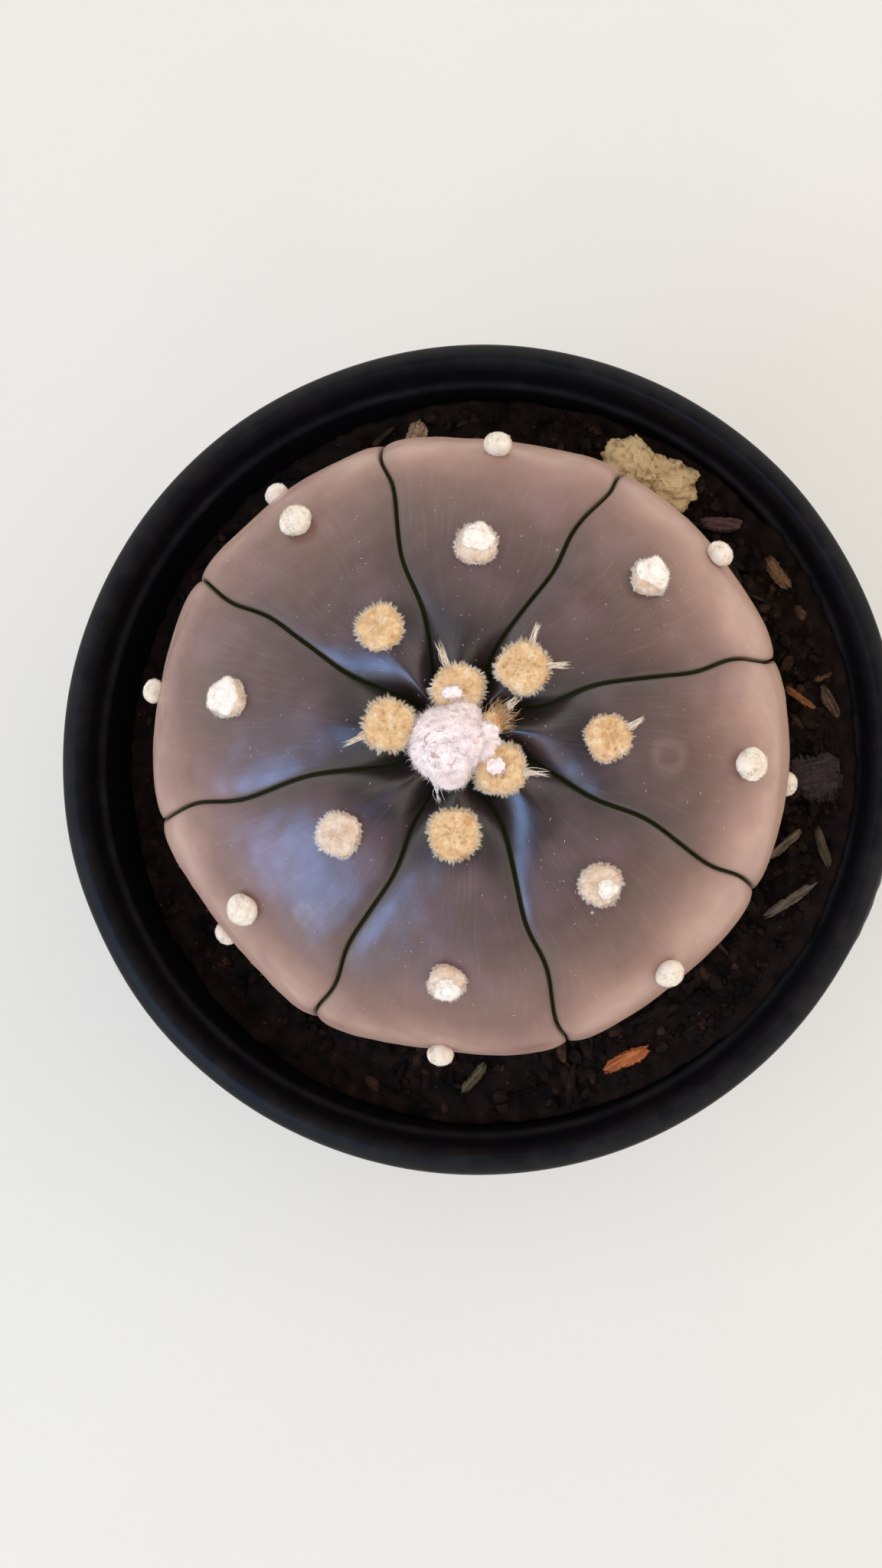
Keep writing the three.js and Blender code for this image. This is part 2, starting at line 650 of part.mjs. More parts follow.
const MATERIALS = {
  pot: { color: 0x12141a, roughness: 0.42, metalness: 0 },
  soil: { color: 0x1d1613, roughness: 0.95, metalness: 0 },
  cactus: { color: 0x7d6864, roughness: 0.55, metalness: 0 },
  flower_bud: { color: 0xe8dde0, roughness: 0.9, metalness: 0 },
  pale_lump: { color: 0xb39a78, roughness: 0.95, metalness: 0 },
  bark_orange: { color: 0xa65a28, roughness: 0.8, metalness: 0 },
  bark_tan: { color: 0xb59a7c, roughness: 0.85, metalness: 0 },
  bark_pale: { color: 0x9b8a78, roughness: 0.85, metalness: 0 },
  bark_grey: { color: 0x6e625a, roughness: 0.85, metalness: 0 },
  bark_dark: { color: 0x2a211d, roughness: 0.85, metalness: 0 },
  bark_brown: { color: 0x5a4436, roughness: 0.85, metalness: 0 },
  bark_rose: { color: 0x57423e, roughness: 0.85, metalness: 0 },
  splinter_rust: { color: 0x6b4526, roughness: 0.85, metalness: 0 },
  splinter_near: { color: 0x6a6052, roughness: 0.85, metalness: 0 },
  splinter_wall: { color: 0x6a6052, roughness: 0.85, metalness: 0 },
  splinter_long: { color: 0x6a6052, roughness: 0.85, metalness: 0 },
};

const plant = new THREE.Group();
plant.name = 'potted_star_cactus';

/** Adds a piece to the plant under its own name and material. */
function add(name, geometry) {
  const mesh = new THREE.Mesh(geometry, new THREE.MeshStandardMaterial(MATERIALS[name]));
  mesh.name = name;
  plant.add(mesh);
}

add('pot', potGeometry());
add('soil', soilGeometry());
add('cactus', cactusGeometry());
add('flower_bud', budGeometry(0));
add('pale_lump', lumpGeometry(0));
for (const piece of LOOSE.filter(({ size }) => size)) {
  add(piece.name, looseGeometry(piece, 0));
}

export default plant;
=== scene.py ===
"""A star cactus in a plastic nursery pot: fine surfaces, finishes, light and camera over its frame."""

import logging
import math
from dataclasses import dataclass, field
from enum import Enum
from typing import Any

import bpy
import numpy as np
from mathutils import Matrix, Vector

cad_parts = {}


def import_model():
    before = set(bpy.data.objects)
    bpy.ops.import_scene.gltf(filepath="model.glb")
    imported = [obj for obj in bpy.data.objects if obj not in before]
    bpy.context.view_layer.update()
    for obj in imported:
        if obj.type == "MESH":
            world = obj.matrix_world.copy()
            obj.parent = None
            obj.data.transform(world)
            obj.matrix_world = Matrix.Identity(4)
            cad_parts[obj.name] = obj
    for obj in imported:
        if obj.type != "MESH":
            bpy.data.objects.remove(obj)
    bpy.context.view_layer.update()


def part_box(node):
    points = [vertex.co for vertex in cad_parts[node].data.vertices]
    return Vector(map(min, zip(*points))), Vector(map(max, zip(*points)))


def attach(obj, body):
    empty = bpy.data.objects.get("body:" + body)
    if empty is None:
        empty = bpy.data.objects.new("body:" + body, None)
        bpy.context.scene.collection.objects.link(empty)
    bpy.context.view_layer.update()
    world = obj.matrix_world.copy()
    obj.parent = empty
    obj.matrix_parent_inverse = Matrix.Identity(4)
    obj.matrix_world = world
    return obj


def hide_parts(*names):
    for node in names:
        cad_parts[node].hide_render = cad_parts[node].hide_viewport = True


MM = 0.001
LOG = logging.getLogger("star_cactus")
Rgb = tuple[float, float, float]
Floats = np.ndarray
Rng = np.random.Generator


# ---------------------------------------------------------------- numbers and meshes


def tone(red: int, green: int, blue: int) -> Rgb:
    """Turn a screen colour, 0 to 255 each, into the linear colour that a shader takes."""
    linear = [((c / 255 + 0.055) / 1.055) ** 2.4 if c > 10 else c / 255 / 12.92 for c in (red, green, blue)]
    return (linear[0], linear[1], linear[2])


def smooth(low: float, high: float, value: Floats) -> Floats:
    """Rise smoothly from 0 where the value is low to 1 where it is high."""
    t = np.clip((np.asarray(value, float) - low) / (high - low), 0, 1)
    return t * t * (3 - 2 * t)


def unit(vectors: Floats) -> Floats:
    """Scale each row to length 1."""
    return vectors / np.maximum(np.linalg.norm(vectors, axis=-1, keepdims=True), 1e-12)


@dataclass
class Ripple:
    """Smooth seeded unevenness in space, a sum of plane waves about 1 high in all."""

    seed: int
    wavelength: float
    waves: int = 12

    def __post_init__(self) -> None:
        """Draw the waves."""
        rng = np.random.default_rng(self.seed)
        self._k = unit(rng.normal(size=(self.waves, 3))) * (2 * math.pi / self.wavelength)
        self._k *= rng.uniform(0.6, 1.5, size=(self.waves, 1))
        self._phase = rng.uniform(0, 2 * math.pi, self.waves)

    def at(self, points: Floats) -> Floats:
        """Read the unevenness.

        Args:
            points: Rows of x, y and z in millimetres.

        Returns:
            One value for each row.
        """
        flat = points.reshape(-1, 3)
        value = np.sin(flat @ self._k.T + self._phase).sum(1) / math.sqrt(self.waves)
        return value.reshape(points.shape[:-1])


@dataclass
class MeshParts:
    """Vertices in millimetres, triangles and named vertex values, gathered until a piece is made."""

    points: list[Floats] = field(default_factory=list)
    triangles: list[Floats] = field(default_factory=list)
    values: dict[str, list[Floats]] = field(default_factory=dict)
    _count: int = 0

    def add(self, points: Floats, triangles: Floats, **values: Floats) -> None:
        """Add a closed shell.

        Args:
            points: Rows of x, y and z in millimetres.
            triangles: Rows of three indices into the points.
            **values: One value per point for each named attribute.
        """
        self.points.append(np.asarray(points, float))
        self.triangles.append(np.asarray(triangles, np.int64) + self._count)
        for name, value in values.items():
            self.values.setdefault(name, []).append(np.asarray(value, float))
        self._count += len(points)

    def add_hairs(
        self, roots: Floats, tips: Floats, bend: Floats, width: Floats, steps: int, pale: tuple[float, float],
        each: Any = 0.0,
    ) -> None:
        """Add closed hairs that grow paler from root to tip.

        Args:
            roots: Root of each hair, in millimetres.
            tips: Tip of each hair.
            bend: How far the middle of each hair is pushed aside.
            width: Radius of each hair at its root.
            steps: Rings along each hair.
            pale: How pale it is at the root, and how much that rises to the tip.
            each: What is added to that on each hair.
        """
        points, triangles, share = hair_shells(roots, tips, bend, width, steps)
        own = np.repeat(np.broadcast_to(each, len(roots)), 3 * steps + 1)
        self.add(points, triangles, pale=np.clip(pale[0] + pale[1] * share + own, 0, 1))

    def piece(self, name: str, is_smooth: bool = True) -> bpy.types.Object:
        """Make the scene object.

        Args:
            name: Name of the piece.
            is_smooth: Whether its faces are shaded smooth.

        Returns:
            The new object, linked to the scene.
        """
        points = np.concatenate(self.points) * MM
        triangles = np.concatenate(self.triangles)
        mesh = bpy.data.meshes.new(name)
        mesh.vertices.add(len(points))
        mesh.vertices.foreach_set("co", points.astype(np.float32).ravel())
        mesh.loops.add(triangles.size)
        mesh.loops.foreach_set("vertex_index", triangles.astype(np.int32).ravel())
        mesh.polygons.add(len(triangles))
        mesh.polygons.foreach_set("loop_start", np.arange(0, triangles.size, 3, dtype=np.int32))
        mesh.polygons.foreach_set("use_smooth", np.full(len(triangles), is_smooth))
        mesh.update(calc_edges=True)
        for label, value in self.values.items():
            layer = mesh.attributes.new(label, "FLOAT", "POINT")
            layer.data.foreach_set("value", np.concatenate(value).astype(np.float32))
        mesh.validate()
        piece = bpy.data.objects.new(name, mesh)
        bpy.context.scene.collection.objects.link(piece)
        return piece


def grid_shell(first: Floats, rings: Floats, last: Floats) -> tuple[Floats, Floats]:
    """Close a stack of rings with a point at each end.

    Args:
        first: The point above the first ring.
        rings: Array of rings, columns and coordinates, anticlockwise seen from the first point.
        last: The point below the last ring.

    Returns:
        The points and the triangles.
    """
    rows, columns = rings.shape[:2]
    points = np.concatenate([first[None], rings.reshape(-1, 3), last[None]])
    j = np.arange(columns)
    k = (j + 1) % columns
    upper = 1 + np.arange(rows - 1)[:, None] * columns
    lower = upper + columns
    walls_a = np.stack([upper + j, lower + j, lower + k], -1).reshape(-1, 3)
    walls_b = np.stack([upper + j, lower + k, upper + k], -1).reshape(-1, 3)
    top = np.stack([np.zeros_like(j), 1 + j, 1 + k], -1)
    base = 1 + (rows - 1) * columns
    bottom = np.stack([np.full_like(j, len(points) - 1), base + k, base + j], -1)
    return points, np.concatenate([top, walls_a, walls_b, bottom])


def ring(radius: Any, angle: Floats, level: Any) -> Floats:
    """Place points round the Z axis at a radius and a level."""
    return np.stack(np.broadcast_arrays(radius * np.cos(angle), radius * np.sin(angle), level), -1)


def ball_grid(start: float, end: float, rows: int, columns: int) -> Floats:
    """Give unit directions in rows from the top of a ball down.

    Args:
        start: Angle of the first row from the top, in radians.
        end: Angle of the last row.
        rows: How many rows.
        columns: How many directions in each.

    Returns:
        The directions, in rows and columns.
    """
    down = np.linspace(start, end, rows)[:, None]
    around = np.linspace(0, 2 * math.pi, columns, endpoint=False)[None]
    flat = np.sin(down)
    return np.stack(np.broadcast_arrays(flat * np.cos(around), flat * np.sin(around), np.cos(down)), -1)


def hair_shells(
    roots: Floats, tips: Floats, bend: Floats, width: Floats, steps: int = 2
) -> tuple[Floats, Floats, Floats]:
    """Make closed three-sided hairs that taper to a point.

    Args:
        roots: Root of each hair, in millimetres.
        tips: Tip of each hair.
        bend: How far the middle of each hair is pushed aside.
        width: Radius of each hair at its root.
        steps: Rings along each hair.

    Returns:
        The points, the triangles and the share of the length at each point.
    """
    count = len(roots)
    along = unit(tips - roots)
    helper = np.where(np.abs(along[:, 2:3]) < 0.8, [[0.0, 0.0, 1.0]], [[1.0, 0.0, 0.0]])
    side = unit(np.cross(along, helper))
    up = np.cross(along, side)
    rows, shares = [], []
    for i in range(steps):
        t = i / steps
        centre = roots + (tips - roots) * t + bend * (4 * t * (1 - t))
        radius = (width * (1 - 0.55 * t))[:, None]
        for a in (0.0, 2 * math.pi / 3, 4 * math.pi / 3):
            rows.append(centre + radius * (math.cos(a) * side + math.sin(a) * up))
            shares.append(np.full(count, t))
    rows.append(tips)
    shares.append(np.ones(count))
    points = np.stack(rows, 1).reshape(-1, 3)
    share = np.stack(shares, 1).ravel()
    faces = [(0, 2, 1)]
    for i in range(steps - 1):
        low, high = 3 * i, 3 * i + 3
        for a in range(3):
            b = (a + 1) % 3
            faces += [(low + a, low + b, high + b), (low + a, high + b, high + a)]
    low, tip = 3 * (steps - 1), 3 * steps
    faces += [(low + a, low + (a + 1) % 3, tip) for a in range(3)]
    stride = 3 * steps + 1
    triangles = (np.arange(count)[:, None, None] * stride + np.array(faces)[None]).reshape(-1, 3)
    return points, triangles, share


# ---------------------------------------------------------------- the stem's form


@dataclass(frozen=True)
class Rib:
    """One rib: how flat its outer edge is, how far it has ripened, and its areoles from the crown out.

    A wisp is the areole's index, its bearing in degrees and its length in millimetres. A white patch is the
    areole's index, its offset along X and Y and its radius.
    """

    flat: float
    ripe: float
    along: tuple[float, ...]
    shift: tuple[float, ...]
    wisps: tuple[tuple[int, float, float], ...] = ()
    white: tuple[tuple[int, float, float, float], ...] = ()


@dataclass(frozen=True)
class Seat:
    """Where an areole sits: its point on the skin, the outward normal, its radius and place along the rib."""

    point: Floats
    normal: Floats
    radius: float
    along: float

    def axes(self) -> Floats:
        """Give its own three directions, the last one outward."""
        across = unit(np.cross([0.0, 1.0, 0.05], self.normal))
        return np.stack([across, np.cross(self.normal, across), self.normal])


@dataclass
class StemForm:
    """The stem's surface: a flattened dome cut by eight grooves, on a shallower underside."""

    radius: float = 37.2
    oval: float = 0.0125
    oval_bearing: float = -23.0
    limb_z: float = 87.0
    dome: float = 19.0
    under: float = 22.0
    power: float = 2.25
    pit_depth: float = 2.4
    pit_radius: float = 5.5
    centre: tuple[float, float] = (-0.32, 0.76)
    lean: tuple[float, float] = (0.47, -0.91)
    slit_depth: float = 1.1
    valley_depth: float = 2.3
    shoulder_drop: float = 0.6
    turn_fade: float = 12.0
    newest: float = 5.0
    newest_share: float = 0.6
    push: float = 0.45
    push_reach: float = 4.0
    grooves: tuple[tuple[float, float], ...] = (
        (14.2, 18), (58.6, 19), (105.3, 10), (148.3, 2), (193.4, 10), (241.5, 5), (288.0, 12), (332.0, 15),
    )
    ribs: tuple[Rib, ...] = (
        Rib(
            0.3, 0.03, (10, 27.4, 39), (0.25, 0.7, -0.75),
            ((0, 70, 5.1), (0, 2, 5.2)), ((1, 0.35, 0.45, 2.2),),
        ),
        Rib(
            0.8, 0.015, (5.2, 21.2, 36.2), (0, 0.25, 0.25),
            ((0, 112, 6.0),), ((0, -0.7, -1.1, 0.9), (1, 0.2, 0.5, 2.1)),
        ),
        Rib(0.6, 0.01, (14.5, 31.3, 45, 56), (-0.5, 0, 0.25, 0), (), ((0, -0.4, 0.1, 2.3),)),
        Rib(
            0.7, -0.035, (7.8, 26.1, 42.2, 57.5), (-0.25, -0.5, -0.5, 0),
            ((0, 205, 5.6),), ((1, -0.4, 0.2, 2.4),),
        ),
        Rib(1.0, 0.01, (17, 32.1, 48), (0, 0, 0.2), (), ((0, -0.9, -0.5, 2.7),)),
        Rib(0.9, -0.04, (10.9, 27.5, 40.5), (-0.25, 0.4, 0.4), (), ((1, 0.1, -0.6, 1.7),)),
        Rib(
            0.7, 0.035, (6, 21.9, 36.6), (0.25, 0.25, 0.25),
            ((0, -8, 5.8),), ((0, -1.1, 0.4, 1.1), (1, 0.7, -0.4, 1.35)),
        ),
        Rib(0.2, 0.03, (4.8, 15.7, 32.2, 49), (1.5, 0.25, 0, -0.5), ((0, 40, 3.3), (1, 26, 4.4))),
    )

    def __post_init__(self) -> None:
        """Measure the meridian once."""
        angle = np.linspace(0, math.pi * 0.93, 4000)
        sine, cosine = np.sin(angle), np.cos(angle)
        over = cosine > 0
        share = 2 / self.power
        r = self.radius * np.where(over, np.abs(sine) ** share, sine)
        pit = self.pit_depth * np.exp(-((r / self.pit_radius) ** 2))
        z_over = self.limb_z + self.dome * np.abs(cosine) ** share - pit
        z = np.where(over, z_over, self.limb_z + self.under * cosine)
        self._r, self._z = r, z
        self._along = np.concatenate([[0], np.cumsum(np.hypot(np.diff(r), np.diff(z)))])

    def meridian(self, along: Floats) -> tuple[Floats, Floats, Floats, Floats]:
        """Read the crest line.

        Args:
            along: Distances from the crown along the meridian.

        Returns:
            Radius, height and the two parts of the outward normal.
        """
        r = np.interp(along, self._along, self._r)
        z = np.interp(along, self._along, self._z)
        after, before = along + 0.05, along - 0.05
        ahead = np.interp(after, self._along, self._r) - np.interp(before, self._along, self._r)
        fall = np.interp(after, self._along, self._z) - np.interp(before, self._along, self._z)
        run = np.maximum(np.hypot(ahead, fall), 1e-9)
        return r, z, -fall / run, ahead / run

    def _reach(self, rib: int, along: Floats) -> Floats:
        """Tell how strongly a rib's areoles press at each distance."""
        return sum(np.exp(-(((along - at) / self.push_reach) ** 2)) for at in self.ribs[rib % 8].along)

    def bearing(self, groove: int, along: Floats) -> Floats:
        """Find the bearing of a groove.

        Args:
            groove: Number of the groove; 8 is the first one again, a turn further on.
            along: Distances from the crown.

        Returns:
            Bearings in degrees.
        """
        turns, k = divmod(groove, 8)
        start, turn = self.grooves[k]
        push = self.push * (self._reach(k - 1, along) - self._reach(k, along))
        r = np.maximum(self.meridian(along)[0], 3)
        return start + 360 * turns + turn * np.exp(-along / self.turn_fade) + np.degrees(push / r)

    def relief(self, rib: int, along: Floats, v: Floats, distance: Floats) -> Floats:
        """Tell how far the skin stands above the crest line.

        Args:
            rib: Number of the rib.
            along: Distances from the crown.
            v: Share of the way from the nearest groove to the middle of the rib.
            distance: Millimetres from the nearest groove.

        Returns:
            The relief in millimetres.
        """
        near = smooth(1, 4, along)
        valley = self.valley_depth * near * np.exp(-(((along - 6) / 8) ** 2)) * (1 - v) ** 1.5
        shoulder = self.shoulder_drop * near * np.exp(-distance / 1.1)
        flat = self.ribs[rib % 8].flat * smooth(26, 44, along) * v * v * (3 - 2 * v)
        return -(valley + (shoulder + flat) * (1 - smooth(55, 61, along)))

    def stretch(self, angle: Floats) -> Floats:
        """Tell how much wider than round the stem is at angles in radians."""
        return 1 + self.oval * np.cos(2 * (angle - math.radians(self.oval_bearing)))

    def skin(self, along: Floats, bearing: Floats, lift: Floats) -> Floats:
        """Place points of the skin.

        Args:
            along: Distances from the crown.
            bearing: Bearings in degrees.
            lift: Millimetres off the crest line.

        Returns:
            Rows of x, y and z in millimetres.
        """
        r, z, nr, nz = self.meridian(along)
        k = np.clip((z - self.limb_z) / self.dome, 0, 1)
        angle = np.radians(bearing)
        out = r * self.stretch(angle) + lift * nr
        x = self.centre[0] + self.lean[0] * k + out * np.cos(angle)
        y = self.centre[1] + self.lean[1] * k + out * np.sin(angle)
        return np.stack(np.broadcast_arrays(x, y, z + lift * nz), -1)

    def on_rib(self, rib: int, along: Floats, share: Floats) -> tuple[Floats, Floats]:
        """Place points across a rib, with the slit between ribs left out.

        Args:
            rib: Number of the rib.
            along: Distances from the crown.
            share: Share of the way across the rib, from 0 to 1.

        Returns:
            The points, and their distance from the nearest groove.
        """
        start, end = self.bearing(rib, along), self.bearing(rib + 1, along)
        width = np.radians(end - start) * self.meridian(along)[0]
        v = 1 - np.abs(2 * share - 1)
        distance = v * width / 2
        lift = self.relief(rib, along, v, distance)
        return self.skin(along, start + (end - start) * share, lift), distance

    def seat(self, rib: int, index: int) -> Seat:
        """Find the seat of an areole.

        Args:
            rib: Number of the rib.
            index: Number of the areole from the crown out.

        Returns:
            The seat.
        """
        along = np.array(float(self.ribs[rib].along[index]))
        shift = self.ribs[rib].shift[index]
        r, _, nr, nz = self.meridian(along)
        bearing = (self.bearing(rib, along) + self.bearing(rib + 1, along)) / 2 + np.degrees(shift / r)
        point = self.skin(along, bearing, self.relief(rib, along, np.array(1.0), np.array(9.0)))
        angle = math.radians(float(bearing))
        normal = np.array([nr * math.cos(angle), nr * math.sin(angle), nz])
        radius = 3.0 - 0.45 * float(smooth(9, 18, along)) - float(smooth(16, 44, along))
        if along < self.newest:
            radius *= self.newest_share
        return Seat(point, normal, radius, float(along))


# ---------------------------------------------------------------- shared shader effects


class Desk:
    """Adds and joins the nodes of one shader tree."""

    def __init__(self, tree: bpy.types.NodeTree) -> None:
        """Keep the tree to work on."""
        self.tree = tree

    def node(self, kind: str, **inputs: Any) -> bpy.types.Node:
        """Add a node.

        Args:
            kind: The node's type name without its ShaderNode prefix.
            **inputs: Node properties in lower case, or inputs by name with spaces as underscores;
                a socket is joined and a plain value is set.

        Returns:
            The node.
        """
        node = self.tree.nodes.new("ShaderNode" + kind)
        for label, value in inputs.items():
            if label.islower() and hasattr(node, label):
                setattr(node, label, value)
                continue
            socket = node.inputs[label.replace("_", " ")]
            if isinstance(value, bpy.types.NodeSocket):
                self.tree.links.new(value, socket)
            else:
                socket.default_value = value
        return node

    def math(self, operation: str, *values: Any) -> bpy.types.NodeSocket:
        """Add a math node.

        Args:
            operation: The operation's name.
            *values: Its sockets or numbers, in order.

        Returns:
            The result.
        """
        node = self.node("Math", operation=operation)
        for i, value in enumerate(values):
            if isinstance(value, bpy.types.NodeSocket):
                self.tree.links.new(value, node.inputs[i])
            else:
                node.inputs[i].default_value = value
        return node.outputs[0]

    def mix(self, factor: Any, first: Any, second: Any, blend: str = "MIX") -> bpy.types.NodeSocket:
        """Mix two colours.

        Args:
            factor: Socket or number.
            first: Socket or colour.
            second: Socket or colour.
            blend: How the second goes over the first.

        Returns:
            The mixed colour.
        """
        node = self.node("Mix", data_type="RGBA", blend_type=blend)
        for i, value in ((0, factor), (6, first), (7, second)):
            if isinstance(value, bpy.types.NodeSocket):
                self.tree.links.new(value, node.inputs[i])
            elif i:
                node.inputs[i].default_value = (*value, 1.0)
            else:
                node.inputs[i].default_value = value
        return node.outputs[2]

    def ramp(self, factor: Any, stops: list[tuple[float, Rgb]]) -> bpy.types.NodeSocket:
        """Add a colour ramp.

        Args:
            factor: The socket that drives it.
            stops: Places from 0 to 1 with their colours.

        Returns:
            The colour.
        """
        node = self.node("ValToRGB")
        elements = node.color_ramp.elements
        while len(elements) < len(stops):
            elements.new(0.5)
        for element, (place, colour) in zip(elements, stops):
            element.position = place
            element.color = (*colour, 1.0)
        self.tree.links.new(factor, node.inputs[0])
        return node.outputs[0]

    def map(self, value: Any, low: float, high: float, to_low: float, to_high: float) -> bpy.types.NodeSocket:
        """Carry a range of values to another, held at its ends.

        Args:
            value: The socket to map.
            low: Low end of the input.
            high: High end of the input.
            to_low: What the low end becomes.
            to_high: What the high end becomes.

        Returns:
            The mapped value.
        """
        node = self.node("MapRange")
        self.tree.links.new(value, node.inputs[0])
        for i, number in enumerate((low, high, to_low, to_high), 1):
            node.inputs[i].default_value = number
        return node.outputs[0]

    def place(self, stretch: tuple[float, float, float] = (1, 1, 1)) -> bpy.types.NodeSocket:
        """Give the surface's own coordinates in millimetres.

        Args:
            stretch: Scale along each axis.

        Returns:
            The coordinates.
        """
        own = self.node("TexCoord").outputs["Object"]
        scaled = self.node("Mapping", Vector=own)
        scaled.inputs["Scale"].default_value = tuple(1000 * s for s in stretch)
        return scaled.outputs[0]

    def attribute(self, name: str) -> bpy.types.NodeSocket:
        """Read a named value of the mesh."""
        return self.node("Attribute", attribute_name=name).outputs["Fac"]

    def noise(self, where: Any, scale: Any, detail: float, **inputs: Any) -> bpy.types.NodeSocket:
        """Add noise.

        Args:
            where: The coordinates.
            scale: Patches per unit of the coordinates, a socket or a number.
            detail: How many finer layers it has.
            **inputs: More of the node's properties and inputs.

        Returns:
            The noise, from 0 to 1.
        """
        return self.node("TexNoise", Vector=where, Scale=scale, Detail=detail, **inputs).outputs["Fac"]


class Effect(Enum):
    """The effects that several finishes share, each a node group."""

    BLOTCH = "Blotches"
    SPECK = "Pale specks"
    RELIEF = "Fine relief"
    DUST = "Settled dust"


class Effects:
    """Builds each shared effect once and hands out its group."""

    def __init__(self) -> None:
        """Start with no group built."""
        self._built: dict[Effect, bpy.types.NodeTree] = {}

    def group(self, effect: Effect) -> bpy.types.NodeTree:
        """Give an effect's group.

        Args:
            effect: Which effect.

        Returns:
            The node group.
        """
        if effect not in self._built:
            makers = {
                Effect.BLOTCH: self._blotch,
                Effect.SPECK: self._speck,
                Effect.RELIEF: self._relief,
                Effect.DUST: self._dust,
            }
            self._built[effect] = makers[effect](effect.value)
        return self._built[effect]

    @staticmethod
    def _start(name: str, inputs: dict[str, float], output: str) -> tuple[Desk, Any, Any]:
        """Open a group with its sockets.

        Args:
            name: The group's name.
            inputs: Input names with their defaults.
            output: The output's name.

        Returns:
            The desk, the group's input node and its output node.
        """
        tree = bpy.data.node_groups.new(name, "ShaderNodeTree")
        for label, value in inputs.items():
            socket = tree.interface.new_socket(label, in_out="INPUT", socket_type="NodeSocketFloat")
            socket.default_value = value
        tree.interface.new_socket(output, in_out="OUTPUT", socket_type="NodeSocketFloat")
        return Desk(tree), tree.nodes.new("NodeGroupInput"), tree.nodes.new("NodeGroupOutput")

    def _blotch(self, name: str) -> bpy.types.NodeTree:
        """Soft uneven patches, with the size of a patch in millimetres."""
        desk, given, result = self._start(name, {"Size": 10, "Contrast": 1, "Seed": 0}, "Mask")
        scale = desk.math("DIVIDE", 1.0, given.outputs["Size"])
        noise = desk.noise(desk.place(), scale, 5, noise_dimensions="4D", W=given.outputs["Seed"])
        spread = desk.math("MULTIPLY", desk.math("SUBTRACT", noise, 0.5), given.outputs["Contrast"])
        level = desk.node("Clamp", Value=desk.math("ADD", spread, 0.5))
        desk.tree.links.new(level.outputs[0], result.inputs[0])
        return desk.tree

    def _speck(self, name: str) -> bpy.types.NodeTree:
        """Sparse round specks: Spacing and Radius in millimetres, Share of the cells that hold one."""
        desk, given, result = self._start(name, {"Spacing": 1, "Radius": 0.1, "Share": 0.3}, "Mask")
        cells = desk.node("TexVoronoi", Vector=desk.place())
        desk.tree.links.new(desk.math("DIVIDE", 1.0, given.outputs["Spacing"]), cells.inputs["Scale"])
        distance = desk.math("MULTIPLY", cells.outputs["Distance"], given.outputs["Spacing"])
        near = desk.math("SUBTRACT", 1.0, desk.math("DIVIDE", distance, given.outputs["Radius"]))
        inside = desk.node("Clamp", Value=desk.math("MULTIPLY", near, 2.5)).outputs[0]
        split = desk.node("SeparateColor", Color=cells.outputs["Color"])
        held = desk.math("LESS_THAN", split.outputs[0], given.outputs["Share"])
        faint = desk.math("MULTIPLY", held, split.outputs[1])
        desk.tree.links.new(desk.math("MULTIPLY", inside, faint), result.inputs[0])
        return desk.tree

    def _relief(self, name: str) -> bpy.types.NodeTree:
        """Fine height: noise of one size with a finer grain over it."""
        desk, given, result = self._start(name, {"Size": 1, "Grain": 0.3}, "Height")
        where = desk.place()
        wide = desk.noise(where, desk.math("DIVIDE", 1.0, given.outputs["Size"]), 4)
        fine = desk.noise(where, desk.math("DIVIDE", 6.0, given.outputs["Size"]), 2)
        grain = desk.math("MULTIPLY", fine, given.outputs["Grain"])
        desk.tree.links.new(desk.math("ADD", wide, grain), result.inputs[0])
        return desk.tree

    def _dust(self, name: str) -> bpy.types.NodeTree:
        """Dust that lies on faces that look up, in patches."""
        desk, given, result = self._start(name, {"Amount": 0.2, "Size": 4}, "Mask")
        up = desk.node("SeparateXYZ", Vector=desk.node("NewGeometry").outputs["Normal"]).outputs["Z"]
        flat = desk.map(up, 0.2, 0.95, 0, 1)
        noise = desk.noise(desk.place(), desk.math("DIVIDE", 1.0, given.outputs["Size"]), 6)
        patch = desk.map(noise, 0.42, 0.72, 0, 1)
        mask = desk.math("MULTIPLY", desk.math("MULTIPLY", flat, patch), given.outputs["Amount"])
        desk.tree.links.new(mask, result.inputs[0])
        return desk.tree


class Bench(Desk):
    """The desk of one material, with its Principled shader and the shared effects at hand."""

    def __init__(self, material: bpy.types.Material, effects: Effects) -> None:
        """Lay the material on the bench.

        Args:
            material: The material, its nodes switched on.
            effects: The shared effects.
        """
        super().__init__(material.node_tree)
        self.shader = material.node_tree.nodes["Principled BSDF"]
        self.effects = effects

    def use(self, effect: Effect, **values: float) -> bpy.types.NodeSocket:
        """Place an effect.

        Args:
            effect: Which effect.
            **values: Its inputs.

        Returns:
            The effect's output.
        """
        node = self.tree.nodes.new("ShaderNodeGroup")
        node.node_tree = self.effects.group(effect)
        for label, value in values.items():
            node.inputs[label].default_value = value
        return node.outputs[0]

    def set(self, label: str, value: float) -> None:
        """Set one of the shader's own sockets."""
        self.shader.inputs[label].default_value = value

    def feed(self, label: str, value: bpy.types.NodeSocket) -> None:
        """Join a value to one of the shader's sockets."""
        self.tree.links.new(value, self.shader.inputs[label])

    def bump(self, height: bpy.types.NodeSocket, depth: float, strength: float = 1.0) -> None:
        """Raise the surface by a height, whose 1 stands for depth millimetres."""
        node = self.node("Bump", Height=height, Strength=strength, Distance=depth * MM)
        self.feed("Normal", node.outputs[0])


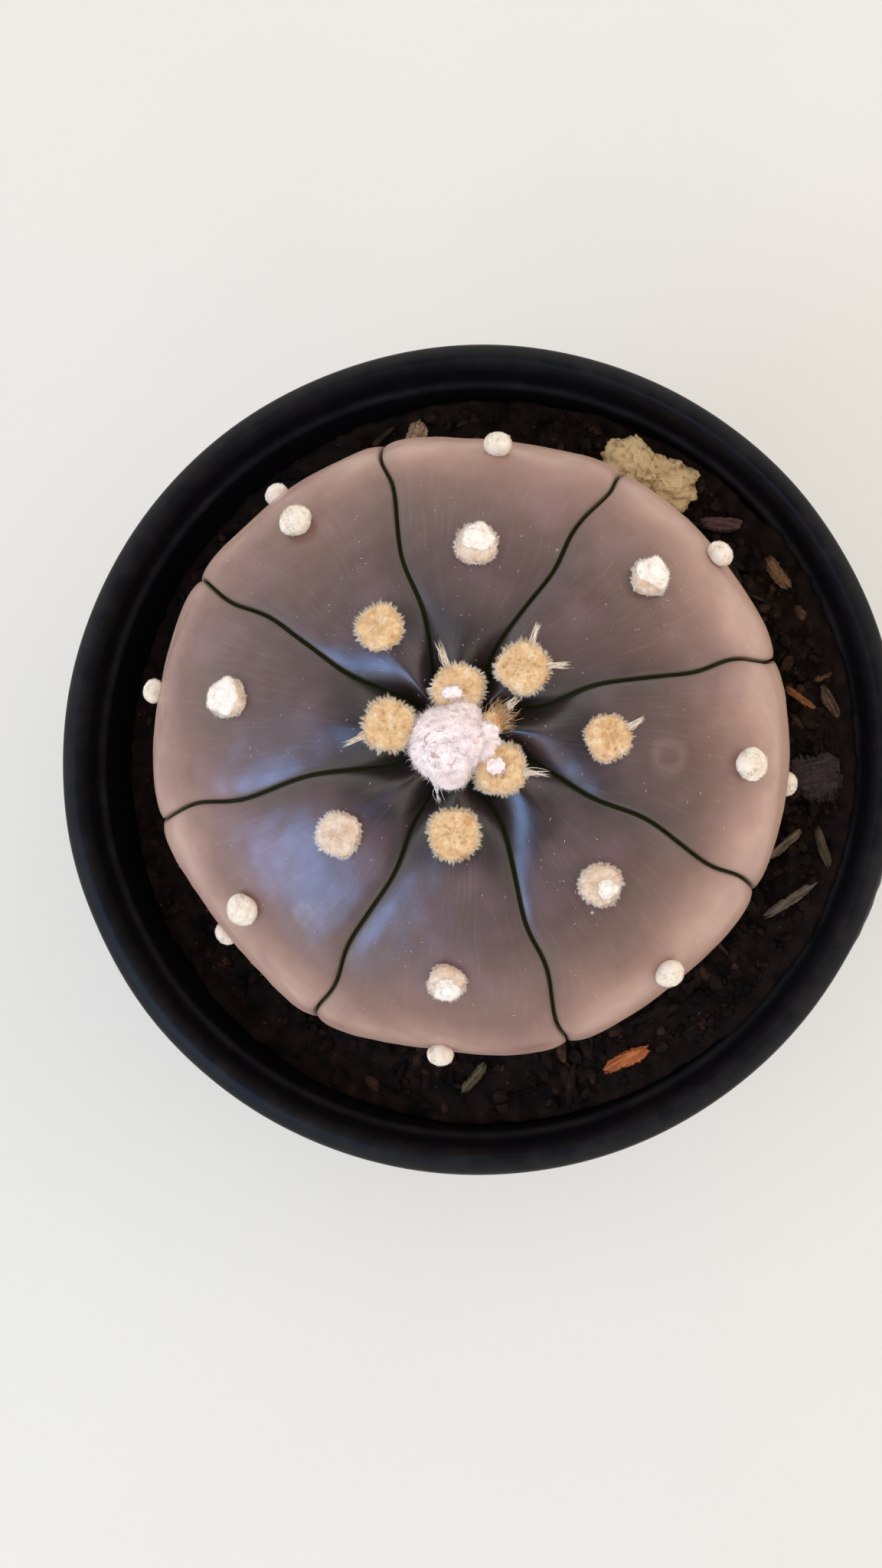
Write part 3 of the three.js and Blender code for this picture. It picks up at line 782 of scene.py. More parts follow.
@dataclass(frozen=True)
class Finish:
    """A finish: the base of every material here."""

    name: str
    roughness: float = 0.6

    def material(self, effects: Effects) -> bpy.types.Material:
        """Build the material.

        Args:
            effects: The shared effects.

        Returns:
            The material.
        """
        material = bpy.data.materials.new(self.name)
        material.use_nodes = True
        bench = Bench(material, effects)
        bench.set("Roughness", self.roughness)
        self.dress(bench)
        return material

    def dress(self, bench: Bench) -> None:
        """Fill the shader's sockets.

        Args:
            bench: The material's bench.
        """
        raise NotImplementedError


@dataclass(frozen=True)
class SkinFinish(Finish):
    """Waxy skin: dark at the crown, mauve to tan at the limb, olive in the slits, with fine pale specks; the
    crown's dark is partly painted shade, the pale limb partly a painted sheen, and painted shade lies in the
    valleys near the crown.
    """

    # Tones from the crown out to the limb: partly the skin's own colour, partly painted shade at the crown
    # and a painted sheen towards the limb.
    stops: tuple[tuple[float, Rgb], ...] = (
        (0.00, tone(34, 27, 24)),
        (0.15, tone(38, 30, 29)),
        (0.20, tone(55, 43, 46)),
        (0.26, tone(88, 71, 70)),
        (0.38, tone(92, 70, 66)),
        (0.46, tone(104, 77, 69)),
        (0.53, tone(123, 90, 80)),
        (0.60, tone(156, 120, 107)),
        (0.66, tone(186, 152, 138)),
        (0.76, tone(190, 156, 140)),
        (0.88, tone(192, 160, 137)),
        (1.00, tone(118, 102, 72)),
    )
    mottle: Rgb = tone(92, 74, 62)
    streak: Rgb = tone(196, 172, 170)
    pink: Rgb = tone(156, 120, 138)
    # Painted shade for the valleys beside the grooves near the crown and for the crown's pit.
    valley: Rgb = tone(32, 26, 24)
    slit: Rgb = tone(60, 64, 26)
    speck: Rgb = tone(200, 184, 172)
    scar: Rgb = tone(176, 150, 138)

    def dress(self, bench: Bench) -> None:
        """Fill the shader's sockets.

        Args:
            bench: The material's bench.
        """
        broad = bench.use(Effect.BLOTCH, Size=20, Contrast=2.4)
        reach = bench.math("ADD", bench.attribute("reach"), bench.map(broad, 0, 1, -0.07, 0.06))
        reach = bench.math("ADD", reach, bench.attribute("ripe"))
        # Painted light in the ramp: shade at the crown and sheen towards the limb, over the skin's own tones.
        colour = bench.ramp(reach, list(self.stops))
        mottle = bench.use(Effect.BLOTCH, Size=2.2, Contrast=2.2, Seed=3)
        colour = bench.mix(bench.map(mottle, 0, 1, 0, 0.16), colour, self.mottle, "MULTIPLY")
        streaks = bench.noise(self._rays(bench), 1.0, 5)
        colour = bench.mix(bench.map(streaks, 0.5, 0.8, 0, 0.07), colour, self.streak)
        pink = bench.use(Effect.BLOTCH, Size=7, Contrast=2.0, Seed=8)
        colour = bench.mix(bench.map(pink, 0.5, 1, 0, 0.25), colour, self.pink)
        # Painted shade: darkens the valleys near the crown and the crown's pit.
        colour = bench.mix(bench.math("MULTIPLY", bench.attribute("valley"), 0.75), colour, self.valley)
        fine = bench.use(Effect.SPECK, Spacing=0.95, Radius=0.1, Share=0.3)
        large = bench.use(Effect.SPECK, Spacing=4.6, Radius=0.26, Share=0.3)
        fine, large = bench.math("MULTIPLY", fine, 0.4), bench.math("MULTIPLY", large, 0.8)
        specks = bench.math("MAXIMUM", fine, large)
        colour = bench.mix(specks, colour, self.speck)
        colour = bench.mix(bench.math("MULTIPLY", bench.attribute("scar"), 0.35), colour, self.scar)
        slit = bench.map(bench.attribute("slit"), 0.05, 0.85, 0, 1)
        colour = bench.mix(slit, colour, self.slit)
        bench.feed("Base Color", colour)
        bench.set("Specular IOR Level", 0.75)
        rough = bench.math("ADD", bench.map(mottle, 0, 1, 0.3, 0.4), bench.math("MULTIPLY", slit, 0.4))
        bench.feed("Roughness", rough)
        height = bench.use(Effect.RELIEF, Size=0.9, Grain=0.5)
        bench.bump(bench.math("ADD", height, bench.math("MULTIPLY", specks, 1.5)), 0.02)

    @staticmethod
    def _rays(bench: Bench) -> bpy.types.NodeSocket:
        """Coordinates that run in fine rays down the ribs."""
        across = bench.math("MULTIPLY", bench.attribute("turn"), 42.0)
        down = bench.math("MULTIPLY", bench.attribute("reach"), 9.0)
        return bench.node("CombineXYZ", X=across, Y=down).outputs[0]


@dataclass(frozen=True)
class WoolFinish(Finish):
    """Wool: one colour at the roots, a paler one at the tips, mottled from lock to lock."""

    root: Rgb = (0.5, 0.4, 0.3)
    middle: Rgb = (0.7, 0.6, 0.5)
    tip: Rgb = (0.9, 0.9, 0.8)
    sheen: float = 0.25

    def dress(self, bench: Bench) -> None:
        """Fill the shader's sockets.

        Args:
            bench: The material's bench.
        """
        mottle = bench.use(Effect.BLOTCH, Size=0.9, Contrast=2.6, Seed=5)
        share = bench.math("ADD", bench.attribute("pale"), bench.map(mottle, 0, 1, -0.24, 0.24))
        colour = bench.ramp(share, [(0.05, self.root), (0.5, self.middle), (0.95, self.tip)])
        bench.feed("Base Color", colour)
        bench.feed("Roughness", bench.map(mottle, 0, 1, 0.7, 0.95))
        bench.set("Sheen Weight", self.sheen)
        bench.bump(bench.use(Effect.RELIEF, Size=0.3, Grain=0.2), 0.006, 0.4)


def wool_finish(name: str, *colours: tuple[int, int, int], sheen: float = 0.25) -> WoolFinish:
    """Mix a wool from its screen colours at the roots, half way up and at the tips."""
    return WoolFinish(name, 0.6, *(tone(*colour) for colour in colours), sheen)


@dataclass(frozen=True)
class PlasticFinish(Finish):
    """Moulded black plastic, scuffed and a little dusty."""

    colour: Rgb = tone(8, 9, 13)
    worn: Rgb = tone(16, 16, 19)
    scuffed: Rgb = tone(44, 44, 46)
    dusty: Rgb = tone(96, 88, 80)

    def dress(self, bench: Bench) -> None:
        """Fill the shader's sockets.

        Args:
            bench: The material's bench.
        """
        broad = bench.use(Effect.BLOTCH, Size=22, Contrast=2.0)
        colour = bench.mix(broad, self.colour, self.worn)
        bench.set("Specular IOR Level", 0.15)
        scratch = bench.noise(bench.place((0.25, 2.2, 0.4)), 0.9, 8)
        scuff = bench.map(scratch, 0.6, 0.75, 0, 0.2)
        colour = bench.mix(scuff, colour, self.scuffed)
        dust = bench.use(Effect.DUST, Amount=0.07, Size=3.5)
        grit = bench.use(Effect.SPECK, Spacing=1.7, Radius=0.13, Share=0.16)
        settled = bench.math("MAXIMUM", dust, bench.math("MULTIPLY", grit, 0.3))
        colour = bench.mix(settled, colour, self.dusty)
        bench.feed("Base Color", colour)
        rough = bench.math("ADD", bench.map(broad, 0, 1, 0.4, 0.52), bench.math("MULTIPLY", dust, 1.1))
        bench.feed("Roughness", rough)
        fine = bench.use(Effect.RELIEF, Size=0.5, Grain=0.6)
        bench.bump(bench.math("ADD", fine, scuff), 0.02, 0.7)


@dataclass(frozen=True)
class EarthFinish(Finish):
    """Damp potting mix: near black, with brown crumbs and pale grains."""

    dark: Rgb = tone(11, 8, 7)
    brown: Rgb = tone(36, 26, 21)

    def dress(self, bench: Bench) -> None:
        """Fill the shader's sockets.

        Args:
            bench: The material's bench.
        """
        patch = bench.use(Effect.BLOTCH, Size=2.4, Contrast=3.0)
        shade = bench.math("MULTIPLY", bench.attribute("shade"), 0.6)
        shade = bench.math("ADD", bench.math("MULTIPLY", patch, 0.5), shade)
        stops = [(0.15, self.dark), (0.62, self.brown), (0.86, tone(66, 46, 34)), (1, tone(112, 86, 64))]
        colour = bench.ramp(shade, stops)
        bench.set("Specular IOR Level", 0.12)
        grain = bench.use(Effect.SPECK, Spacing=0.8, Radius=0.12, Share=0.12)
        colour = bench.mix(bench.math("MULTIPLY", grain, 0.7), colour, tone(120, 104, 88))
        bench.feed("Base Color", colour)
        bench.feed("Roughness", bench.map(patch, 0, 1, 0.8, 1.0))
        bench.bump(bench.use(Effect.RELIEF, Size=0.7, Grain=0.7), 0.25)


@dataclass(frozen=True)
class BarkFinish(Finish):
    """Weathered bark: fibres along the piece, darker in the cracks."""

    light: Rgb = tone(150, 130, 110)
    dark: Rgb = tone(70, 54, 42)
    turn: float = 0.0

    def dress(self, bench: Bench) -> None:
        """Fill the shader's sockets.

        Args:
            bench: The material's bench.
        """
        grain = bench.node("Mapping", Vector=bench.node("TexCoord").outputs["Object"])
        grain.inputs["Rotation"].default_value = (0, 0, -math.radians(self.turn))
        stretch = bench.node("Mapping", Vector=grain.outputs[0])
        stretch.inputs["Scale"].default_value = (350, 3200, 2400)
        fibre = bench.noise(stretch.outputs[0], 1.0, 5)
        patch = bench.use(Effect.BLOTCH, Size=2.2, Contrast=2.2, Seed=2)
        bench.set("Specular IOR Level", 0.15)
        share = bench.math("ADD", bench.map(fibre, 0.3, 0.7, 0, 0.75), bench.math("MULTIPLY", patch, 0.3))
        colour = bench.ramp(share, [(0.15, self.dark), (0.85, self.light)])
        dirt = bench.use(Effect.SPECK, Spacing=0.7, Radius=0.2, Share=0.3)
        colour = bench.mix(bench.math("MULTIPLY", dirt, 0.7), colour, tone(30, 23, 19))
        bench.feed("Base Color", colour)
        bench.feed("Roughness", bench.map(patch, 0, 1, 0.7, 0.95))
        bench.bump(fibre, 0.16)


@dataclass(frozen=True)
class GritFinish(Finish):
    """Pale crumbly grit, darker towards its foot."""

    light: Rgb = tone(216, 188, 142)
    dark: Rgb = tone(132, 92, 54)

    def dress(self, bench: Bench) -> None:
        """Fill the shader's sockets.

        Args:
            bench: The material's bench.
        """
        patch = bench.use(Effect.BLOTCH, Size=1.3, Contrast=3.4, Seed=4)
        share = bench.math("MULTIPLY", bench.attribute("shade"), 0.7)
        share = bench.math("ADD", share, bench.math("MULTIPLY", patch, 0.4))
        colour = bench.ramp(share, [(0.1, tone(64, 50, 38)), (0.45, self.dark), (0.85, self.light)])
        pits = bench.use(Effect.SPECK, Spacing=0.8, Radius=0.22, Share=0.35)
        colour = bench.mix(bench.math("MULTIPLY", pits, 0.6), colour, tone(92, 74, 54))
        bench.feed("Base Color", colour)
        bench.feed("Roughness", bench.map(patch, 0, 1, 0.85, 1.0))
        bench.bump(bench.use(Effect.RELIEF, Size=0.6, Grain=0.7), 0.3)


@dataclass(frozen=True)
class ScaleFinish(Finish):
    """Thin bud scales: pink at the edge, brownish at the tip."""

    pink: Rgb = tone(214, 160, 166)
    brown: Rgb = tone(150, 96, 92)

    def dress(self, bench: Bench) -> None:
        """Fill the shader's sockets.

        Args:
            bench: The material's bench.
        """
        patch = bench.use(Effect.BLOTCH, Size=0.6, Contrast=2.0, Seed=6)
        share = bench.math("ADD", bench.attribute("pale"), bench.map(patch, 0, 1, -0.3, 0.3))
        colour = bench.ramp(share, [(0.1, self.pink), (0.95, self.brown)])
        bench.feed("Base Color", colour)
        bench.bump(bench.use(Effect.RELIEF, Size=0.2, Grain=0.4), 0.02)


@dataclass(frozen=True)
class TableFinish(Finish):
    """A plain pale table top with faint unevenness."""

    colour: Rgb = (0.85, 0.85, 0.81)

    def dress(self, bench: Bench) -> None:
        """Fill the shader's sockets.

        Args:
            bench: The material's bench.
        """
        cloud = bench.use(Effect.BLOTCH, Size=60, Contrast=1.6)
        colour = bench.mix(bench.map(cloud, 0, 1, 0, 0.5), self.colour, (0.8, 0.795, 0.76))
        bench.feed("Base Color", colour)
        bench.bump(bench.use(Effect.RELIEF, Size=3, Grain=0.5), 0.05, 0.5)


# ---------------------------------------------------------------- the pieces


@dataclass
class Workshop:
    """What every maker needs: the shared effects, the form of the stem, and how a piece is handed over."""

    effects: Effects = field(default_factory=Effects)
    form: StemForm = field(default_factory=StemForm)

    def hand_over(self, piece: bpy.types.Object, finish: Finish, slot: str, *nodes: str) -> bpy.types.Object:
        """Dress a piece, hang it under the root body and hide the solids that it stands for.

        Args:
            piece: The piece.
            finish: Its finish.
            slot: Not used.
            *nodes: The solids that it stands for.

        Returns:
            The piece.
        """
        piece.data.materials.clear()
        piece.data.materials.append(finish.material(self.effects))
        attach(piece, "root")
        if nodes:
            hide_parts(*nodes)
        LOG.info("%s: %d faces", piece.name, len(piece.data.polygons))
        return piece


@dataclass(frozen=True)
class Scar:
    """An old mark of the skin: its place, its radius and the width of its ring, or 0 for a filled spot."""

    x: float
    y: float
    radius: float
    ring: float


@dataclass
class Stem:
    """The ribbed stem with its taproot."""

    shop: Workshop
    ring_step: float = 0.38
    reach_end: float = 61.0
    slit_columns: tuple[float, ...] = (0.0, 0.22, 0.42, 0.6, 0.8, 1.0)
    rib_columns: int = 30
    lip: float = 0.3
    root: tuple[tuple[float, float], ...] = ((21, 68.2), (12, 63), (9, 55), (5.5, 45), (2.6, 37.5))
    root_tip: float = 36.0
    scars: tuple[Scar, ...] = (
        Scar(22.3, -2.3, 1.5, 0.5),
        Scar(-17.2, -19.2, 1.0, 0.3),
        Scar(1.0, -33.0, 0.42, 0),
    )

    def build(self) -> bpy.types.Object:
        """Make the stem.

        Returns:
            The piece.
        """
        form = self.shop.form
        rows = np.arange(0.6, self.reach_end + 1e-6, self.ring_step)
        along = rows[:, None]
        near = smooth(2, 9, along) * (1 - smooth(56, 61, along))
        inner = 0.5 - 0.5 * np.cos(np.linspace(0, math.pi, self.rib_columns + 1))
        inner = 0.65 * inner + 0.35 * np.linspace(0, 1, self.rib_columns + 1)
        points, slits, valley_shade_masks, turns, ripes = [], [], [], [], []
        for rib in range(8):
            start, end = form.bearing(rib, along), form.bearing(rib + 1, along)
            width = np.radians(end - start) * form.meridian(along)[0]
            lip = np.minimum(self.lip / width, 0.07)
            steps = np.array(self.slit_columns)[None, :-1]
            across = (lip * steps, lip + (1 - 2 * lip) * inner[None], 1 - lip * steps[:, :0:-1])
            share = np.concatenate(across, 1)
            v = 1 - np.abs(2 * share - 1)
            distance = v * width / 2
            slit = form.slit_depth * near * (1 - smooth(0.04, 0.27, distance))
            lift = form.relief(rib, along, v, distance) - slit
            points.append(form.skin(along, start + (end - start) * share, lift))
            slits.append(np.exp(-np.maximum(distance - 0.08, 0) / 0.16) * near)
            # Painted shade mask: strong beside the grooves near the crown, fading outwards, and full in the
            # crown's pit.
            fade = 1 - 0.8 * smooth(12, 34, along)
            valley_shade_masks.append(np.exp(-distance / 1.5) * near * fade + 0.8 * (1 - smooth(4, 9, along)))
            turns.append((rib + share) * np.ones_like(along))
            ripes.append(form.ribs[rib].ripe * smooth(16, 36, along) * smooth(0, 0.3, v))
        grid = self._uneven(np.concatenate(points, 1), along)
        root = self._root_rings(grid[-1])
        rings = np.concatenate([grid, root])
        top = np.append(grid[0].mean(0)[:2], grid[0][:, 2].min())
        tip = np.array([form.centre[0], form.centre[1], self.root_tip])
        shell, triangles = grid_shell(top, rings, tip)
        extra = root.shape[0] * root.shape[1]
        # Lighter towards the lump's top, darker towards its foot.
        marks = {
            "reach": (np.broadcast_to(along / 60, grid.shape[:2]), 0, 1),
            "slit": (np.concatenate(slits, 1), 0, 0),
            "valley": (np.concatenate(valley_shade_masks, 1), 1, 0),
            "turn": (np.concatenate(turns, 1), 0, 0),
            "ripe": (np.concatenate(ripes, 1), 0, 0),
            "scar": (self._scars(grid), 0, 0),
        }
        spread = {
            name: np.concatenate([[at_top], value.ravel(), np.full(extra + 1, below)])
            for name, (value, at_top, below) in marks.items()
        }
        parts = MeshParts()
        parts.add(shell, triangles, **spread)
        piece = parts.piece("stem")
        return self.shop.hand_over(piece, SkinFinish("waxy_skin"), "cactus_skin", "cactus")

    def _uneven(self, grid: Floats, along: Floats) -> Floats:
        """Give the skin its slight natural unevenness.

        Args:
            grid: The skin's points.
            along: Distance of each ring from the crown.

        Returns:
            The moved points.
        """
        middle = np.array([*self.shop.form.centre, self.shop.form.limb_z - 6])
        out = unit(grid - middle)
        swell = 0.12 * Ripple(3, 15).at(grid) + 0.035 * Ripple(4, 3.5).at(grid)
        return grid + out * (swell * smooth(3, 14, along))[..., None]

    def _scars(self, grid: Floats) -> Floats:
        """Mark the few old round scars of the skin.

        Args:
            grid: The skin's points.

        Returns:
            How strong the mark is at each point.
        """
        mark = np.zeros(grid.shape[:2])
        on_top = grid[..., 2] > self.shop.form.limb_z - 1
        for scar in self.scars:
            distance = np.hypot(grid[..., 0] - scar.x, grid[..., 1] - scar.y)
            if scar.ring:
                strength = 0.42 * np.exp(-(((distance - scar.radius) / scar.ring) ** 2))
            else:
                strength = 1.6 * (1 - smooth(scar.radius * 0.6, scar.radius, distance))
            mark = np.maximum(mark, on_top * strength)
        return mark

    def _root_rings(self, last: Floats) -> Floats:
        """Narrow the underside into the taproot.

        Args:
            last: The lowest ring of the skin.

        Returns:
            The rings of the root.
        """
        centre = np.array(self.shop.form.centre)
        angle = np.arctan2(last[:, 1] - centre[1], last[:, 0] - centre[0])
        rings = []
        for r, z in self.root:
            out = r * self.shop.form.stretch(angle)
            xy = centre + np.stack([out * np.cos(angle), out * np.sin(angle)], -1)
            rings.append(np.column_stack([xy, np.full(len(last), z)]))
        return np.array(rings)


class Age(Enum):
    """Age of an areole's wool, which sets its colour and how it stands."""

    YOUNG = "young"
    MIDDLE = "middle"
    OLD = "old"


@dataclass(frozen=True)
class WoolKind:
    """How the wool of one age is made: its hairs in number and millimetres, the rest in tuft radii."""

    finish: WoolFinish
    hairs: int
    thick: float
    height: float
    hair: tuple[float, float]
    gather: float
    ragged: float
    is_ball: bool


@dataclass
class AreoleWool:
    """The wool of the areoles: brushes and balls of fine hairs in locks, and the wisps of the youngest."""

    shop: Workshop
    young_until: float = 16.3
    middle_until: float = 30.0
    capped_from: float = 20.0
    wisp_hairs: int = 26
    fan_hairs: int = 620
    fan_side: tuple[float, float, float] = (0.78, 0.62, 0.0)
    kinds: dict[Age, WoolKind] = field(
        default_factory=lambda: {
            Age.YOUNG: WoolKind(
                wool_finish("young_wool", (192, 138, 82), (228, 195, 148), (252, 240, 222)),
                4300, 0.03, 0.6, (0.24, 0.42), 0.68, 0.05, False,
            ),
            Age.MIDDLE: WoolKind(
                wool_finish("grey_wool", (196, 158, 124), (226, 203, 181), (250, 244, 236)),
                4000, 0.028, 0.7, (0.2, 0.34), 0.55, 0.035, False,
            ),
            Age.OLD: WoolKind(
                wool_finish("white_wool", (212, 190, 162), (234, 220, 202), (248, 242, 232)),
                4600, 0.026, 0.9, (0.08, 0.18), 0.35, 0.02, True,
            ),
        }
    )

    def age(self, seat: Seat) -> Age:
        """Tell the age from the distance from the crown."""
        if seat.along < self.young_until:
            return Age.YOUNG
        return Age.MIDDLE if seat.along < self.middle_until else Age.OLD

    def build(self) -> list[bpy.types.Object]:
        """Make the wool, one piece for each age.

        Returns:
            The pieces.
        """
        form = self.shop.form
        parts = {age: MeshParts() for age in Age}
        rng = np.random.default_rng(12)
        for number, rib in enumerate(form.ribs):
            white = {index: (x, y, radius) for index, x, y, radius in rib.white}
            for index in range(len(rib.along)):
                seat = form.seat(number, index)
                age = self.age(seat)
                if seat.along < form.newest:
                    self._fan(parts[age], seat, rng)
                else:
                    self._tuft(parts[age], seat, self.kinds[age], white.get(index), rng)
            for index, bearing, length in rib.wisps:
                self._wisp(parts[Age.YOUNG], form.seat(number, index), bearing, length, rng)
        pieces = []
        for age, gathered in parts.items():
            piece = gathered.piece(age.value + "_areole_wool")
            pieces.append(self.shop.hand_over(piece, self.kinds[age].finish, "flower_wool", "cactus"))
        return pieces

    def _tuft(
        self,
        parts: MeshParts,
        seat: Seat,
        kind: WoolKind,
        white: tuple[float, float, float] | None,
        rng: Rng,
    ) -> None:
        """Add one tuft: short hairs over a felted core.

        Args:
            parts: Where it is gathered.
            seat: Its seat.
            kind: How its wool is made.
            white: Offset and radius of a white patch on it.
            rng: Seeded numbers.
        """
        count = int(kind.hairs * (seat.radius / 2.6) ** 1.6)
        turn = rng.uniform(0, 2 * math.pi)
        outer = self._ball(rng, count) if kind.is_ball else self._brush(rng, count, kind.height, turn)
        locks = outer[rng.integers(0, count, max(count // 16, 12))]
        gap = np.linalg.norm(outer[:, None] - locks[None], axis=2)
        nearest = gap.argmin(1)
        lean = 1 + rng.normal(0, kind.ragged, len(locks))[nearest]
        tips = (outer + (locks[nearest] - outer) * kind.gather) * lean[:, None]
        if kind.is_ball:
            heart = tips * [0.62, 0.62, 0] + [0, 0, 0.5]
        else:
            heart = outer * [0.42, 0.42, 0] - [0, 0, 0.25]
        out = unit(tips - heart)
        reach = rng.uniform(*kind.hair, (count, 1))
        roots = outer - out * reach
        tips = tips + rng.normal(0, 0.012, (count, 3)) + out * rng.uniform(-0.03, 0.05, (count, 1))
        turned = seat.axes() * seat.radius
        width = kind.thick * rng.uniform(0.75, 1.3, count)
        start, end = seat.point + roots @ turned, seat.point + tips @ turned
        each = rng.normal(0, 0.09, len(locks))[nearest] + rng.normal(0, 0.05, count)
        far = np.hypot(tips[:, 0], tips[:, 1])
        if not kind.is_ball:
            # Paler towards the outer edge; darker at the middle, painted shade in the tuft's central parting.
            each = each + 0.25 * smooth(0.5, 1.0, far) - 0.3 * np.exp(-((far / 0.4) ** 2))
            each = each + 0.13 * Ripple(90, 1.7).at(end)
        if white:
            offset = end - seat.point - [white[0], white[1], 0]
            each = each + 0.6 * (1 - smooth(0.75, 1.1, np.hypot(offset[:, 0], offset[:, 1]) / white[2]))
        parts.add_hairs(start, end, np.zeros((count, 3)), width, 1, (0.28, 0.42), each)
        self._core(parts, kind, seat, turned, turn, rng)
        if white and seat.along > self.capped_from:
            self._cap(parts, kind, seat, white, rng)

    @staticmethod
    def _square(phi: Floats, turn: float) -> Floats:
        """Give a tuft's outline its slightly squared form."""
        return 1 + 0.033 * np.cos(4 * (phi - turn)) + 0.025 * np.cos(3 * phi + 2 * turn)

    def _brush(self, rng: Rng, count: int, height: float, turn: float) -> Floats:
        """Place the tips of a brush of radius 1 that stands on a flat seat.

        Args:
            rng: Seeded numbers.
            count: How many.
            height: Its height.
            turn: The turn of its outline.

        Returns:
            The tips.
        """
        side = rng.random(count) < 0.36
        rho = np.where(side, 1.0, np.sqrt(rng.random(count)))
        phi = rng.uniform(0, 2 * math.pi, count)
        level = height * (1 - 0.4 * rho**5 - 0.16 * np.exp(-((rho / 0.16) ** 2)))
        level = np.where(side, rng.uniform(0.1, 0.62, count) * height, level)
        far = rho * 1.02 * self._square(phi, turn)
        return ring(far, phi, level)

    @staticmethod
    def _ball(rng: Rng, count: int) -> Floats:
        """Place the tips of a ball of radius 1 that sits a little into the skin.

        Args:
            rng: Seeded numbers.
            count: How many.

        Returns:
            The tips.
        """
        d = unit(rng.normal(size=(count, 3)))
        d[:, 2] = np.where(d[:, 2] < -0.5, -d[:, 2], d[:, 2])
        return d * [0.96, 0.96, 0.8] + [0, 0, 0.5]

    def _core(
        self,
        parts: MeshParts,
        kind: WoolKind,
        seat: Seat,
        turned: Floats,
        turn: float,
        rng: Rng,
    ) -> None:
        """Add the felt at the heart of a tuft.

        Args:
            parts: Where it is gathered.
            kind: How its wool is made.
            seat: The tuft's seat.
            turned: The seat's three directions, scaled to the tuft.
            turn: The turn of the tuft's outline.
            rng: Seeded numbers.
        """
        angle = np.linspace(0, 2 * math.pi, 48, endpoint=False)
        brush = ((0.2, 0.84), (0.45, 0.9), (0.66, 0.86), (0.82, 0.7), (0.9, 0.45), (0.9, 0.2), (0.86, -0.2))
        ball = tuple((0.92 * math.sin(a), 0.5 + 0.77 * math.cos(a)) for a in np.linspace(0.25, 2.3, 12))
        profile = ball if kind.is_ball else tuple((r, z * kind.height) for r, z in brush)
        rings = []
        for r, z in profile:
            radius = r * self._square(angle, turn) * (1 + rng.normal(0, 0.018, 48))
            level = z + rng.normal(0, 0.012, 48)
            rings.append(ring(radius, angle, level))
        top = np.array([0, 0, profile[0][1] + (0.03 if kind.is_ball else -0.06)])
        low = np.array([0, 0, profile[-1][1] - 0.05])
        points, triangles = grid_shell(top, np.array(rings), low)
        shade = (0.6 if kind.is_ball else 0.4) + rng.normal(0, 0.06, len(points))
        parts.add(seat.point + points @ turned, triangles, pale=shade)

    @staticmethod
    def _cap(
        parts: MeshParts,
        kind: WoolKind,
        seat: Seat,
        white: tuple[float, float, float],
        rng: Rng,
    ) -> None:
        """Add the felted white cap of an older tuft, with a short nap.

        Args:
            parts: Where it is gathered.
            kind: How the tuft's wool is made.
            seat: The tuft's seat.
            white: The cap's offset along X and Y and its radius.
            rng: Seeded numbers.
        """
        x, y, radius = white
        turned = seat.axes()
        offset = np.array([x, y, 0.0])
        offset = offset - seat.normal * (offset @ seat.normal)
        middle = seat.point + offset * 0.8 + seat.normal * (kind.height * seat.radius - 0.4)
        angle = np.linspace(0, 2 * math.pi, 56, endpoint=False)
        edge = radius * 0.84 * (1 + 0.08 * np.cos(3 * angle + x * 9) + 0.05 * np.cos(5 * angle))
        tilts = np.linspace(0.1, 2.1, 16)
        rings = [ring(edge * math.sin(tilt), angle, 0.5 * math.cos(tilt)) @ turned + middle for tilt in tilts]
        top, low = middle + seat.normal * 0.505, middle - seat.normal * 0.3
        points, triangles = grid_shell(top, np.array(rings), low)
        out = unit(points - middle + 1e-6)
        points = points + out * (0.04 * Ripple(91, 0.8).at(points))[:, None]
        parts.add(points, triangles, pale=0.95 + 0.05 * Ripple(93, 0.9).at(points))
        count = int(520 * radius)
        picked = 56 * rng.integers(2, 14, count) + rng.integers(0, 56, count)
        roots = points[1 + picked] + rng.normal(0, 0.04, (count, 3))
        lay = unit(out[1 + picked] + rng.normal(0, 0.3, (count, 3)))
        tips = roots + lay * rng.uniform(0.12, 0.3, (count, 1))
        width = kind.thick * rng.uniform(0.6, 1.0, count)
        parts.add_hairs(roots, tips, np.zeros((count, 3)), width, 1, (0.9, 0.1))

    def _fan(self, parts: MeshParts, seat: Seat, rng: Rng) -> None:
        """Add the newest areole: a fan of stiff hairs that comes out from under the bud.

        Args:
            parts: Where its hairs are gathered.
            seat: Its seat.
            rng: Seeded numbers.
        """
        count = self.fan_hairs
        side = unit(np.array(self.fan_side))
        across = np.array([-side[1], side[0], 0.0])
        prong = rng.integers(0, 3, (count, 1))
        way = np.array([-0.42, 0.05, 0.5])[prong] + rng.normal(0, 0.16, (count, 1))
        lay = unit(side * np.cos(way) + across * np.sin(way) + [0, 0, 0.38])
        start = seat.point - side * 0.9 + [0, 0, 0.35]
        spread = rng.normal(0, 1, (count, 3)) * [0.5, 0.5, 0.22]
        roots = start + spread + lay * rng.uniform(0, 1.0, (count, 1))
        length = rng.uniform(0.5, 1.7, (count, 1)) * np.array([1.15, 0.8, 0.9])[prong]
        bend = rng.normal(0, 0.05, (count, 3)) + [0, 0, 0.08]
        width = 0.034 * rng.uniform(0.7, 1.3, count)
        each = rng.normal(0, 0.14, count)
        parts.add_hairs(roots, roots + lay * length, bend, width, 2, (0.05, 0.5), each)
        felt = ball_grid(0.2, 2.4, 10, 32) * [1.25, 1.25, 1] * (1 + rng.normal(0, 0.02, (10, 32, 1))) + start
        points, triangles = grid_shell(start + [0, 0, 1.0], felt, start - [0, 0, 0.8])
        parts.add(points, triangles, pale=np.full(len(points), 0.25))

